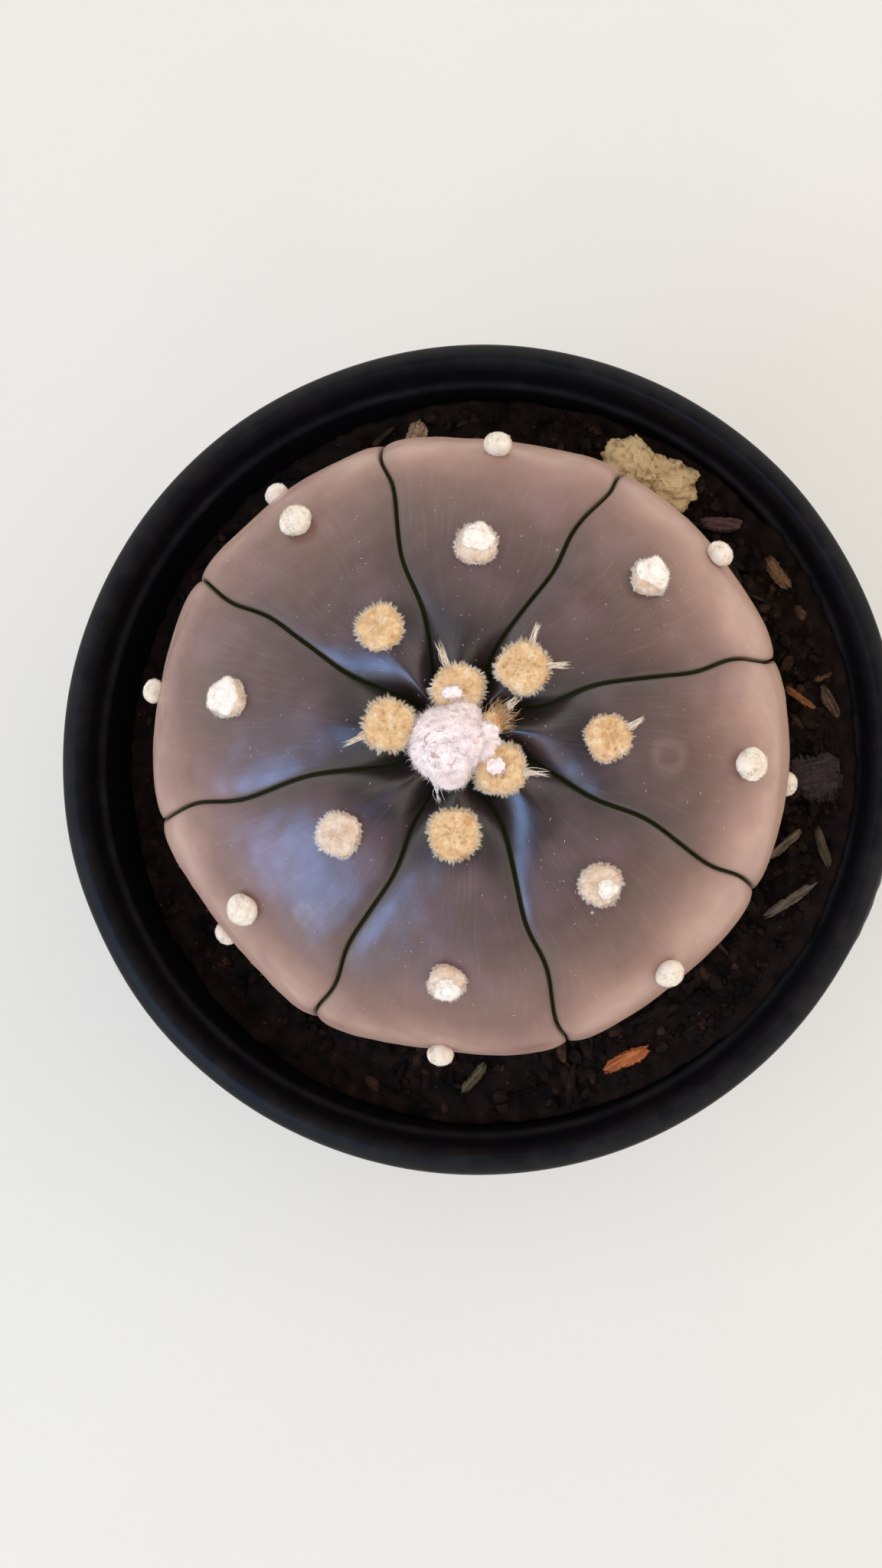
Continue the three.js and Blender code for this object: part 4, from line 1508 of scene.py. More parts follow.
    def _wisp(
        self, parts: MeshParts, seat: Seat, bearing: float, length: float, rng: Rng
    ) -> None:
        """Add a thin pointed wisp of long white hairs.

        Args:
            parts: Where its hairs are gathered.
            seat: The seat of the tuft that it leaves.
            bearing: Its bearing in degrees.
            length: Its length from the tuft's middle.
            rng: Seeded numbers.
        """
        count = self.wisp_hairs
        angle = math.radians(bearing)
        side = np.array([math.cos(angle), math.sin(angle), 0.3])
        side = unit(side - seat.normal * (side @ seat.normal) * 0.75)
        across = unit(np.cross(seat.normal, side))
        up = np.cross(side, across)
        start = seat.point + seat.normal * seat.radius * 0.34
        spread = rng.normal(0, 0.24, (count, 2)) * [1, 0.5]
        roots = start + side * (seat.radius * rng.uniform(0.7, 0.95, (count, 1)))
        roots = roots + spread[:, :1] * across + spread[:, 1:] * up
        share = 1 - 0.55 * rng.random((count, 1)) ** 2
        reach = seat.radius * 0.9 + (length - seat.radius * 0.9) * share
        prong = rng.integers(-1, 2, (count, 1))
        fork = 0.3 * prong + rng.normal(0, 0.05, (count, 1))
        tips = start + side * reach + fork * across * share + up * (0.3 + 0.2 * prong)
        bend = 0.1 * rng.normal(0, 1, (count, 1)) * across + 0.2 * rng.random((count, 1)) * up
        width = 0.032 * rng.uniform(0.7, 1.3, count)
        parts.add_hairs(roots, tips, bend, width, 4, (0.85, 0.15))


@dataclass
class Bud:
    """The shaggy flower bud in the crown, with the tips of its scales showing through the wool.

    A lobe is its place from the bud's middle and its radius. A fleece is its place and its half sizes.
    """

    shop: Workshop
    offset: tuple[float, float, float] = (-0.9, -0.75, -0.9)
    flatness: float = 0.8
    hairs: int = 4600
    lobes: tuple[tuple[float, float, float, float], ...] = (
        (-0.5, -0.2, 0.0, 4.1),
        (1.0, 2.3, 0.1, 2.35),
        (3.7, -0.9, -0.3, 2.0),
        (-0.2, -2.6, -0.1, 2.5),
        (1.1, 0.2, 1.5, 2.6),
    )
    stray_hairs: int = 1300
    wisp_hairs: int = 14
    wisp_from: tuple[float, float, float] = (-1.5, -4.3, 0.4)
    wisp_reach: tuple[float, float, float] = (0.35, -2.4, -0.7)
    fleeces: tuple[tuple[tuple[float, float, float], tuple[float, float]], ...] = (
        ((0.2, 5.1, 2.0), (1.2, 0.7)),
        ((4.75, -2.7, 2.0), (1.05, 0.95)),
        ((3.3, 1.0, 1.5), (1.9, 1.1)),
    )
    scale_tips: int = 26

    def centre(self) -> Floats:
        """Find the bud's middle above the stem's crown."""
        form = self.shop.form
        x = form.centre[0] + form.lean[0] + self.offset[0]
        y = form.centre[1] + form.lean[1] + self.offset[1]
        return np.array([x, y, form.limb_z + form.dome + self.offset[2]])

    def _surface(self, d: Floats) -> Floats:
        """Find how far the bud reaches in each direction.

        Args:
            d: Unit directions.

        Returns:
            The reach in millimetres.
        """
        reach = np.zeros(len(d))
        for x, y, z, radius in self.lobes:
            along = d @ np.array([x, y, z])
            inside = radius**2 - (x * x + y * y + z * z) + along**2
            far = along + np.sqrt(np.maximum(inside, 0))
            reach = np.maximum(reach, np.where((inside > 0) & (far > 0), far, 0))
        return reach

    def build(self) -> list[bpy.types.Object]:
        """Make the wool and the scales.

        Returns:
            The pieces.
        """
        rng = np.random.default_rng(33)
        middle = self.centre()
        parts = MeshParts()
        self._heart(parts, middle)
        self._coat(parts, middle, rng)
        self._strays(parts, middle, rng)
        wool = parts.piece("bud_wool")
        finish = wool_finish("bud_wool", (238, 202, 208), (247, 230, 231), (251, 243, 242), sheen=0.1)
        self.shop.hand_over(wool, finish, "flower_wool", "flower_bud")
        scales = self._scales(middle, rng)
        self.shop.hand_over(scales, ScaleFinish("bud_scales", roughness=0.6), "flower_wool", "flower_bud")
        return [wool, scales]

    def _heart(self, parts: MeshParts, middle: Floats) -> None:
        """Add the felted heart of the bud.

        Args:
            parts: Where it is gathered.
            middle: The bud's middle.
        """
        d = ball_grid(0.05, math.pi - 0.08, 70, 140)
        reach = self._surface(d.reshape(-1, 3)).reshape(d.shape[:2]) * 0.98
        rings = middle + d * reach[..., None] * [1, 1, self.flatness]
        rings = rings + 0.1 * d * Ripple(9, 1.1).at(rings)[..., None]
        rings = rings + 0.06 * d * Ripple(8, 0.45).at(rings)[..., None]
        ends = self._surface(np.array([[0.0, 0, 1], [0.0, 0, -1]])) * self.flatness * 0.9
        points, triangles = grid_shell(middle + [0, 0, ends[0]], rings, middle - [0, 0, ends[1]])
        parts.add(points, triangles, pale=0.75 + 0.2 * Ripple(10, 1.3).at(points))

    def _coat(self, parts: MeshParts, middle: Floats, rng: Rng) -> None:
        """Add the coat of hairs, combed round the middle in locks.

        Args:
            parts: Where it is gathered.
            middle: The bud's middle.
            rng: Seeded numbers.
        """
        d = unit(rng.normal(size=(self.hairs, 3)) + [0, 0, 0.55])
        d = d[d[:, 2] > -0.35]
        count = len(d)
        reach = self._surface(d)[:, None]
        flat = np.array([1, 1, self.flatness])
        away = unit(d * [1, 1, 0] + 1e-6)
        fall = [0, 0, 1] * np.linalg.norm(d[:, :2], axis=1)[:, None]
        down = unit(away * np.maximum(d[:, 2:], 0.05) - fall)
        around = np.cross([0.0, 0, 1], away)
        stray = np.stack([Ripple(41 + i, 1.9).at(d * 4) for i in range(3)], -1)
        lay = unit(down + 0.35 * around + 0.5 * stray)
        is_nap = rng.random((count, 1)) < 0.72
        length = np.where(is_nap, rng.uniform(0.3, 0.55, (count, 1)), rng.uniform(0.6, 1.5, (count, 1)))
        lift = np.where(is_nap, 0.85, 0.2 + 0.1 * Ripple(47, 1.2).at(d * 4)[:, None])
        lay = lay * np.where(is_nap, 0.5, 1.0)
        roots = middle + d * reach * 0.945 * flat
        tips = roots + (lift * d + 0.8 * lay + rng.normal(0, 0.13, (count, 3))) * length * flat
        over = np.linalg.norm((tips - middle) / flat, axis=1, keepdims=True) / (reach * 1.1)
        tips = middle + (tips - middle) / np.maximum(over, 1)
        bend = 0.14 * d + rng.normal(0, 0.06, (count, 3))
        width = 0.024 * rng.uniform(0.7, 1.3, count)
        each = rng.normal(0, 0.07, count) + 0.13 * Ripple(48, 1.3).at(d * 4) + 0.08 * d[:, 0]
        parts.add_hairs(roots, tips, bend, width, 2, (0.72, 0.25), each)

    def _strays(self, parts: MeshParts, middle: Floats, rng: Rng) -> None:
        """Add loose hairs round the rim and the thin wisp on the -Y side.

        Args:
            parts: Where they are gathered.
            middle: The bud's middle.
            rng: Seeded numbers.
        """
        count = self.stray_hairs
        angle = rng.uniform(0, 2 * math.pi, count)
        d = unit(ring(1.0, angle, rng.uniform(0.0, 0.6, count)))
        reach = self._surface(d)[:, None]
        roots = middle + d * reach * 0.85
        tips = middle + d * (reach + rng.uniform(0.1, 0.8, (count, 1)) ** 1.6)
        tips = tips + rng.normal(0, 0.2, (count, 3))
        bend = rng.normal(0, 0.14, (count, 3))
        parts.add_hairs(roots, tips, bend, np.full(count, 0.02), 3, (0.6, 0.35))
        for at, size in self.fleeces:
            self._fleece(parts, middle + at, size, rng)
        count = self.wisp_hairs
        start = middle + self.wisp_from
        roots = start + rng.normal(0, 0.22, (count, 3))
        tips = start + self.wisp_reach + rng.normal(0, 0.2, (count, 3))
        bend = [-0.22, 0, 0.2] + rng.normal(0, 0.08, (count, 3))
        parts.add_hairs(roots, tips, bend, np.full(count, 0.03), 4, (0.7, 0.25))

    @staticmethod
    def _fleece(parts: MeshParts, at: Floats, size: tuple[float, float], rng: Rng) -> None:
        """Add a lock of the bud's fleece that lies over the wool beside it.

        Args:
            parts: Where it is gathered.
            at: Its middle.
            size: Its half sizes along X and Y.
            rng: Seeded numbers.
        """
        count = int(150 * size[0] * size[1])
        half = np.array([size[0], size[1], 0.55])
        ball = ball_grid(0.15, math.pi - 0.15, 12, 32)
        felt = at + ball * half * 0.9 * (1 + 0.12 * Ripple(44, 0.9).at(at + ball * half))[..., None]
        points, triangles = grid_shell(at + [0, 0, 0.45], felt, at - [0, 0, 0.45])
        parts.add(points, triangles, pale=0.8 + 0.15 * Ripple(45, 0.7).at(points))
        d = unit(rng.normal(size=(count, 3)) + [0, 0, 0.4])
        roots = at + d * half * rng.uniform(0.7, 0.9, (count, 1))
        lay = unit(np.cross([0.0, 0.0, 1.0], d) + 0.6 * d + rng.normal(0, 0.45, (count, 3)))
        tips = roots + lay * rng.uniform(0.3, 0.9, (count, 1)) * [1, 1, 0.5]
        bend = 0.12 * d + rng.normal(0, 0.05, (count, 3))
        width = 0.026 * rng.uniform(0.7, 1.3, count)
        parts.add_hairs(roots, tips, bend, width, 2, (0.68, 0.25), rng.normal(0, 0.1, count))

    def _scales(self, middle: Floats, rng: Rng) -> bpy.types.Object:
        """Make the pink scale tips that curl round the middle.

        Args:
            middle: The bud's middle.
            rng: Seeded numbers.

        Returns:
            The piece.
        """
        parts = MeshParts()
        count = self.scale_tips
        angle = rng.uniform(0, 2 * math.pi, count)
        base = ring(rng.uniform(0.5, 2.5, count), angle, 0.0) - [0.7, 0.9, 0]
        base[-2:] += [4.0, 0.6, 0]
        d = unit(base * [1, 1, 0] + [0, 0, 3.2])
        top = middle + d * self._surface(d)[:, None] * [1, 1, self.flatness]
        turn = angle + 1.5 + rng.normal(0, 0.35, count)
        lay = ring(1.0, turn, 0.0)
        length = rng.uniform(0.3, 0.75, (count, 1))
        roots = top - lay * length - d * 0.16
        tips = top + lay * length - d * 0.02
        parts.add_hairs(roots, tips, d * 0.14, rng.uniform(0.03, 0.055, count), 4, (0.0, 1.0))
        return parts.piece("bud_scales")


@dataclass
class SkinLint:
    """Fine loose hairs and crumbs that lie on the skin near the areoles and in the crown."""

    shop: Workshop
    hairs: int = 420

    def build(self) -> bpy.types.Object:
        """Make the lint.

        Returns:
            The piece.
        """
        form = self.shop.form
        rng = np.random.default_rng(77)
        parts = MeshParts()
        rib = rng.integers(0, 8, self.hairs)
        along = rng.uniform(6, 44, self.hairs)
        share = rng.uniform(0.12, 0.88, self.hairs)
        near = rng.random(self.hairs) < 0.6
        for i in np.flatnonzero(near):
            seat_rib = int(rng.integers(0, 8))
            spots = form.ribs[seat_rib].along[:2]
            rib[i] = seat_rib
            along[i] = max(4.0, spots[int(rng.integers(0, len(spots)))] + rng.normal(0, 3.2))
            share[i] = float(np.clip(rng.normal(0.5, 0.2), 0.08, 0.92))
        for number in range(8):
            held = rib == number
            count = int(held.sum())
            base, _ = form.on_rib(number, along[held], share[held])
            ahead, _ = form.on_rib(number, along[held] + 0.3, share[held])
            beside, _ = form.on_rib(number, along[held], share[held] + 0.004)
            down, aside = unit(ahead - base), unit(beside - base)
            up = np.cross(down, aside)
            turn = rng.uniform(0, 2 * math.pi, (count, 1))
            lay = np.cos(turn) * down + np.sin(turn) * aside
            length = rng.uniform(0.08, 0.42, (count, 1))
            roots = base + up * 0.04
            tips = base + lay * length + up * rng.uniform(0.03, 0.12, (count, 1))
            bend = np.cross(up, lay) * rng.normal(0, 0.15, (count, 1)) * length
            width = rng.uniform(0.018, 0.04, count)
            parts.add_hairs(roots, tips, bend, width, 2, (0.5, 0.4))
        piece = parts.piece("skin_lint")
        finish = wool_finish("lint", (188, 168, 150), (214, 200, 188), (236, 228, 220))
        return self.shop.hand_over(piece, finish, "flower_wool")


POT_INNER = ((34.4, 3.2), (45.5, 74.0), (45.7, 80.0), (46.6, 80.5), (47.2, 82.9), (48.2, 84.0))


@dataclass
class Pot:
    """The moulded pot: rounded rim, collar, tapered wall, foot ring and drain holes."""

    shop: Workshop
    inner: tuple[tuple[float, float], ...] = POT_INNER
    outer: tuple[tuple[float, float], ...] = (
        (49.4, 83.7), (50.4, 82.9), (50.7, 81.6), (50.3, 73.1), (49.8, 72.5), (46.8, 72.1), (36.6, 2.2),
        (36.0, 0.0), (32.6, 0.0), (31.8, 1.5),
    )
    sides: int = 240
    holes: int = 5
    hole_radius: float = 3.9
    hole_ring: float = 24.0

    def build(self) -> bpy.types.Object:
        """Make the pot.

        Returns:
            The piece.
        """
        profile = self._rounded([(0.0, 3.2), *self.inner, *self.outer, (0.0, 1.5)])
        angle = np.linspace(0, 2 * math.pi, self.sides, endpoint=False)
        body = np.array(profile[1:-1])
        rings = self._moulded(ring(body[:, :1], angle, body[:, 1:]), body, angle)
        first = np.array([0.0, 0.0, profile[0][1]])
        last = np.array([0.0, 0.0, profile[-1][1]])
        points, triangles = grid_shell(first, rings, last)
        parts = MeshParts()
        parts.add(points, triangles)
        pot = parts.piece("nursery_pot")
        self._drill(pot)
        self._shade_by_angle(pot)
        finish = PlasticFinish("black_plastic", roughness=0.45)
        return self.shop.hand_over(pot, finish, "pot_plastic", "pot")

    @staticmethod
    def _rounded(profile: list[tuple[float, float]]) -> list[tuple[float, float]]:
        """Round the corners of a profile and divide its long runs.

        Args:
            profile: Corners of radius and height.

        Returns:
            The finer profile.
        """
        result = [profile[0]]
        for i in range(1, len(profile) - 1):
            p, c, n = (np.array(profile[k], float) for k in (i - 1, i, i + 1))
            before, after = np.linalg.norm(p - c), np.linalg.norm(n - c)
            cut = min(0.45 * before, 0.45 * after, 0.9)
            a, b = c + (p - c) / before * cut, c + (n - c) / after * cut
            last = np.array(result[-1])
            run = np.linalg.norm(a - last)
            for t in np.linspace(0, 1, max(int(run / 3.0), 1) + 1)[1:-1]:
                result.append(tuple(last + (a - last) * t))
            for t in (0.0, 0.25, 0.5, 0.75, 1.0):
                result.append(tuple((1 - t) ** 2 * a + 2 * t * (1 - t) * c + t * t * b))
        result.append(profile[-1])
        return [(float(r), float(z)) for r, z in result]

    @staticmethod
    def _moulded(rings: Floats, body: Floats, angle: Floats) -> Floats:
        """Put the pot slightly out of round, with torn flash at one place of the rim.

        Args:
            rings: The pot's rings.
            body: Radius and height of each ring.
            angle: Angle of each column.

        Returns:
            The moved rings.
        """
        high = smooth(40, 84, body[:, 1])[:, None]
        oval = 0.12 * high * np.cos(2 * angle - 0.4)[None]
        wave = 0.05 * high * Ripple(21, 26).at(rings)
        degrees = np.degrees(angle)
        rng = np.random.default_rng(8)
        torn = np.exp(-(((degrees - 337) / 3.2) ** 2)) + 0.7 * np.exp(-(((degrees - 342.5) / 1.3) ** 2))
        edge = np.exp(-(((body[:, 1] - 80.9) / 1.1) ** 2)) * (body[:, 0] > 49.6)
        flash = edge[:, None] * torn[None] * (0.18 + 0.3 * rng.random(len(angle)))[None]
        outward = rings[..., :2] / np.maximum(np.linalg.norm(rings[..., :2], axis=-1, keepdims=True), 1e-9)
        moved = rings.copy()
        moved[..., :2] += outward * (oval + wave + flash)[..., None]
        return moved

    def _drill(self, pot: bpy.types.Object) -> None:
        """Cut the drain holes.

        Args:
            pot: The pot.
        """
        parts = MeshParts()
        angle = np.linspace(0, 2 * math.pi, 32, endpoint=False)
        for i in range(self.holes):
            a = 2 * math.pi * i / self.holes
            at = self.hole_ring * np.array([math.cos(a), math.sin(a)])
            rings = np.array([ring(self.hole_radius, angle, z) + [*at, 0] for z in (6.0, -2.0)])
            points, triangles = grid_shell(np.array([*at, 6.0]), rings, np.array([*at, -2.0]))
            parts.add(points, triangles)
        cutter = parts.piece("drill")
        cut = pot.modifiers.new("drain_holes", "BOOLEAN")
        cut.operation = "DIFFERENCE"
        cut.solver = "EXACT"
        cut.object = cutter
        drilled = bpy.data.meshes.new_from_object(pot.evaluated_get(bpy.context.evaluated_depsgraph_get()))
        pot.modifiers.clear()
        pot.data = drilled
        bpy.data.objects.remove(cutter)

    @staticmethod
    def _shade_by_angle(piece: bpy.types.Object) -> None:
        """Keep sharp edges where faces meet steeply."""
        piece.data.shade_smooth()
        piece.data.set_sharp_from_angle(angle=math.radians(40))


@dataclass(frozen=True)
class LoosePiece:
    """A piece of bark on the soil: place, size and lie, and its colours."""

    node: str
    x: float
    y: float
    length: float
    width: float
    thickness: float
    turn: float
    tilt: float
    light: Rgb
    dark: Rgb


LOOSE_BARK = (
    LoosePiece("bark_orange", 18.6, -37.0, 6.2, 2.0, 1.4, 29, -8, tone(200, 124, 76), tone(122, 64, 36)),
    LoosePiece("bark_tan", -7.2, 41.0, 3.6, 2.4, 1.6, 70, 10, tone(176, 150, 124), tone(104, 80, 62)),
    LoosePiece("bark_pale", -0.1, -39.6, 4.6, 1.3, 1.1, 52, 6, tone(104, 98, 72), tone(56, 50, 36)),
    LoosePiece("bark_grey", 43.0, 6.0, 4.4, 1.3, 1.2, -64, 8, tone(98, 78, 64), tone(48, 36, 30)),
    LoosePiece("bark_dark", 41.4, -2.6, 6.4, 6.2, 1.7, 12, -7, tone(64, 52, 54), tone(30, 24, 26)),
    LoosePiece("bark_brown", 37.4, 21.6, 5.0, 1.7, 1.3, -58, 8, tone(122, 92, 64), tone(52, 38, 28)),
    LoosePiece("bark_rose", 30.8, 28.2, 5.8, 1.8, 1.2, -5, -6, tone(92, 68, 66), tone(46, 34, 34)),
    LoosePiece("splinter_rust", 39.5, 6.5, 4.6, 1.0, 1.0, -35, 6, tone(138, 88, 54), tone(66, 38, 24)),
    LoosePiece("splinter_near", 37.6, -11.0, 5.2, 1.1, 1.0, 39, 8, tone(112, 98, 80), tone(56, 46, 38)),
    LoosePiece("splinter_wall", 42.1, -11.6, 5.2, 1.1, 1.0, -71, -8, tone(86, 76, 58), tone(42, 36, 28)),
    LoosePiece("splinter_long", 37.9, -17.8, 7.6, 1.2, 1.1, 35, 5, tone(104, 94, 82), tone(54, 46, 40)),
)
GREY_SPLINTERS = ("splinter_near", "splinter_wall", "splinter_long")


@dataclass
class Soil:
    """The potting mix: a lumpy bed with crumbs and splinters, the loose bark and the lump of grit."""

    shop: Workshop
    level: float = 76.6
    slope: float = 0.095
    bump: float = 0.7
    floor: float = 3.2
    gap: float = 0.3
    crumbs: int = 2600
    splinters: int = 170
    lump_at: tuple[float, float] = (22.2, 34.2)
    inner: tuple[tuple[float, float], ...] = POT_INNER

    def height(self, x: Floats, y: Floats) -> Floats:
        """Find the soil's level at places in millimetres."""
        lumps = np.sin(x * 0.31 + 1.7) * np.cos(y * 0.27 - 0.6) + 0.6 * np.sin(x * 0.55 - y * 0.47)
        return self.level + self.slope * x + self.bump * 0.6 * lumps

    def wall(self, z: Floats) -> Floats:
        """Find how far out the soil reaches at a height."""
        radii, heights = zip(*self.inner)
        return np.interp(z, heights, radii) - self.gap

    def build(self) -> list[bpy.types.Object]:
        """Make the bed and all that lies on it.

        Returns:
            The pieces.
        """
        rng = np.random.default_rng(51)
        pieces = [self._bed()]
        pieces.append(self._crumb_layer(rng))
        pieces.append(self._splinter_layer(rng))
        for piece in LOOSE_BARK:
            pieces.append(self._bark(piece))
        pieces.append(self._lump())
        return pieces

    def _bed(self) -> bpy.types.Object:
        """Make the bed of soil down to the pot's floor.

        Returns:
            The piece.
        """
        angle = np.linspace(0, 2 * math.pi, 300, endpoint=False)
        rings = []
        for share in np.linspace(0.45, 1, 56):
            r = share * 45.0
            for _ in range(3):
                level = self.height(r * np.cos(angle), r * np.sin(angle))
                r = share * np.minimum(46, self.wall(level))
            spot = ring(r, angle, 0.0)
            rough = 0.3 * Ripple(61, 3.4).at(spot) + 0.16 * Ripple(62, 1.3, 20).at(spot)
            rings.append(ring(r, angle, self.height(spot[:, 0], spot[:, 1]) + rough - 0.35))
        bottom = self.floor + 0.02
        for z in (72.0, 60.0, 40.0, 20.0, bottom):
            rings.append(ring(self.wall(np.array(z)), angle, z))
        top, low = np.array([0, 0, self.level - 1.0]), np.array([0, 0, bottom])
        points, triangles = grid_shell(top, np.array(rings), low)
        parts = MeshParts()
        parts.add(points, triangles, shade=np.full(len(points), 0.25))
        piece = parts.piece("soil_bed")
        finish = EarthFinish("potting_mix", roughness=0.95)
        return self.shop.hand_over(piece, finish, "potting_soil", "soil")

    def _spots(self, rng: Rng, count: int, heap: float) -> tuple[Floats, Floats]:
        """Draw places on the open ring of soil.

        Args:
            rng: Seeded numbers.
            count: How many.
            heap: Share of them on the heaped side.

        Returns:
            Bearings in radians and radii in millimetres.
        """
        around = rng.uniform(0, 2 * math.pi, count)
        heaped = np.radians(rng.uniform(-80, 80, count))
        return np.where(rng.random(count) < heap, heaped, around), rng.uniform(31.5, 44.3, count)

    def _crumb_layer(self, rng: Rng) -> bpy.types.Object:
        """Make the crumbs of peat and bark.

        Args:
            rng: Seeded numbers.

        Returns:
            The piece.
        """
        corners, faces = self._stone()
        angle, radius = self._spots(rng, self.crumbs, 0.35)
        size = 0.22 + 0.75 * rng.random(self.crumbs) ** 2.6
        radius = np.minimum(radius, 44.4 - size)
        x, y = radius * np.cos(angle), radius * np.sin(angle)
        z = self.height(x, y) + size * rng.uniform(-0.3, 0.5, self.crumbs)
        stretch = rng.uniform(0.55, 1.35, (self.crumbs, 1, 3)) * [1, 1, 0.7]
        jitter = 1 + rng.normal(0, 0.16, (self.crumbs, len(corners), 1))
        turn = rng.uniform(0, 2 * math.pi, self.crumbs)
        shape = corners[None] * stretch * jitter * size[:, None, None]
        c, s = np.cos(turn)[:, None], np.sin(turn)[:, None]
        side, ahead, up = shape[..., 0], shape[..., 1], shape[..., 2]
        moved = np.stack([side * c - ahead * s, side * s + ahead * c, up], -1)
        points = (moved + np.stack([x, y, z], -1)[:, None]).reshape(-1, 3)
        triangles = (np.arange(self.crumbs)[:, None, None] * len(corners) + faces[None]).reshape(-1, 3)
        shade = np.repeat(np.clip(rng.beta(1.4, 3.2, self.crumbs), 0, 1), len(corners))
        parts = MeshParts()
        parts.add(points, triangles, shade=shade)
        piece = parts.piece("soil_crumbs", is_smooth=False)
        return self.shop.hand_over(piece, EarthFinish("crumbs", roughness=0.95), "potting_soil")

    @staticmethod
    def _stone() -> tuple[Floats, Floats]:
        """Give the twelve corners and twenty faces that each crumb starts from."""
        g = (1 + math.sqrt(5)) / 2
        corners = np.array(
            [[-1, g, 0], [1, g, 0], [-1, -g, 0], [1, -g, 0], [0, -1, g], [0, 1, g], [0, -1, -g], [0, 1, -g],
             [g, 0, -1], [g, 0, 1], [-g, 0, -1], [-g, 0, 1]]
        )
        faces = np.array(
            [[0, 11, 5], [0, 5, 1], [0, 1, 7], [0, 7, 10], [0, 10, 11], [1, 5, 9], [5, 11, 4], [11, 10, 2],
             [10, 7, 6], [7, 1, 8], [3, 9, 4], [3, 4, 2], [3, 2, 6], [3, 6, 8], [3, 8, 9], [4, 9, 5],
             [2, 4, 11], [6, 2, 10], [8, 6, 7], [9, 8, 1]]
        )
        return unit(corners.astype(float)), faces

    @staticmethod
    def _chip(
        size: tuple[float, float, float], rng: Rng, rows: int = 12, columns: int = 14
    ) -> tuple[Floats, Floats]:
        """Make a split piece of bark at the origin, its length along X.

        Args:
            size: Length, width and thickness.
            rng: Seeded numbers.
            rows: Sections along it.
            columns: Points round each section.

        Returns:
            The points and the triangles.
        """
        length, width, thickness = size
        t = np.linspace(0.03, 0.97, rows)
        angle = np.linspace(0, 2 * math.pi, columns, endpoint=False)
        across = np.sign(np.cos(angle)) * np.abs(np.cos(angle)) ** 0.55
        over = np.sign(np.sin(angle)) * np.abs(np.sin(angle)) ** 0.55
        fall = 1 - np.abs(2 * t - 1) ** rng.uniform(2.5, 6)
        half = 0.5 * width * (0.25 + 0.75 * fall) * (1 + rng.normal(0, 0.07, rows))
        deep = 0.5 * thickness * (0.4 + 0.6 * fall)
        sway = 0.08 * width * np.sin(t * 5 + rng.uniform(0, 6))
        ends = 0.06 * length * rng.normal(0, 1, columns)
        fibre = 1 + rng.normal(0, 0.09, columns)
        x = (t[:, None] - 0.5) * length + ends[None] * (np.abs(2 * t - 1) ** 4)[:, None]
        y = sway[:, None] + half[:, None] * across[None] * fibre[None]
        z = deep[:, None] * over[None] * fibre[None] + 0.05 * thickness * rng.normal(0, 1, (rows, columns))
        rings = np.stack([x, y, z], -1)[:, ::-1]
        return grid_shell(np.array([-0.49 * length, 0, 0]), rings, np.array([0.49 * length, 0, 0]))

    def _splinter_layer(self, rng: Rng) -> bpy.types.Object:
        """Make the dark splinters and flakes of bark that are part of the mix.

        Args:
            rng: Seeded numbers.

        Returns:
            The piece.
        """
        parts = MeshParts()
        angle, radius = self._spots(rng, self.splinters, 0.62)
        for a, r in zip(angle, radius):
            length = rng.uniform(1.4, 6.0)
            width = rng.uniform(0.35, 1.5)
            points, triangles = self._chip((length, width, width * rng.uniform(0.3, 0.7)), rng, 6, 8)
            turn = Matrix.Rotation(rng.uniform(0, 2 * math.pi), 3, "Z")
            turn = turn @ Matrix.Rotation(rng.normal(0, 0.28), 3, "Y")
            turn = turn @ Matrix.Rotation(rng.normal(0, 0.5), 3, "X")
            r = min(r, 44.2 - 0.42 * length)
            x, y = r * math.cos(a), r * math.sin(a)
            at = np.array([x, y, float(self.height(np.array(x), np.array(y))) + rng.uniform(-0.1, 0.7)])
            clear = all(math.hypot(p.x - x, p.y - y) > 0.4 * (p.length + length) for p in LOOSE_BARK)
            if not clear or math.hypot(self.lump_at[0] - x, self.lump_at[1] - y) < 6.5:
                continue
            shade = float(np.clip(rng.beta(1.6, 2.0), 0, 1))
            parts.add(points @ np.array(turn).T + at, triangles, shade=np.full(len(points), shade))
        piece = parts.piece("soil_splinters")
        return self.shop.hand_over(piece, EarthFinish("splinters", roughness=0.9), "potting_soil")

    def _bark(self, loose: LoosePiece) -> bpy.types.Object:
        """Make a loose piece of bark where its solid lies.

        Args:
            loose: Which piece.

        Returns:
            The piece.
        """
        rng = np.random.default_rng(int(loose.length * 100 + loose.x))
        size = (loose.length * 0.94, loose.width * 0.9, loose.thickness)
        points, triangles = self._chip(size, rng, 30, 28)
        points = points + unit(points + 1e-9) * (0.05 * Ripple(5, 0.9).at(points * [0.25, 1, 1]))[:, None]
        turn = Matrix.Rotation(math.radians(loose.turn), 3, "Z")
        turn = turn @ Matrix.Rotation(math.radians(loose.tilt), 3, "X")
        low, high = (np.array(corner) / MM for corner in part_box(loose.node))
        parts = MeshParts()
        parts.add(points @ np.array(turn).T + (low + high) / 2, triangles)
        piece = parts.piece(loose.node + "_piece")
        finish = BarkFinish(loose.node, 0.85, loose.light, loose.dark, loose.turn)
        slot = "splinter_grey" if loose.node in GREY_SPLINTERS else loose.node
        return self.shop.hand_over(piece, finish, slot, loose.node)

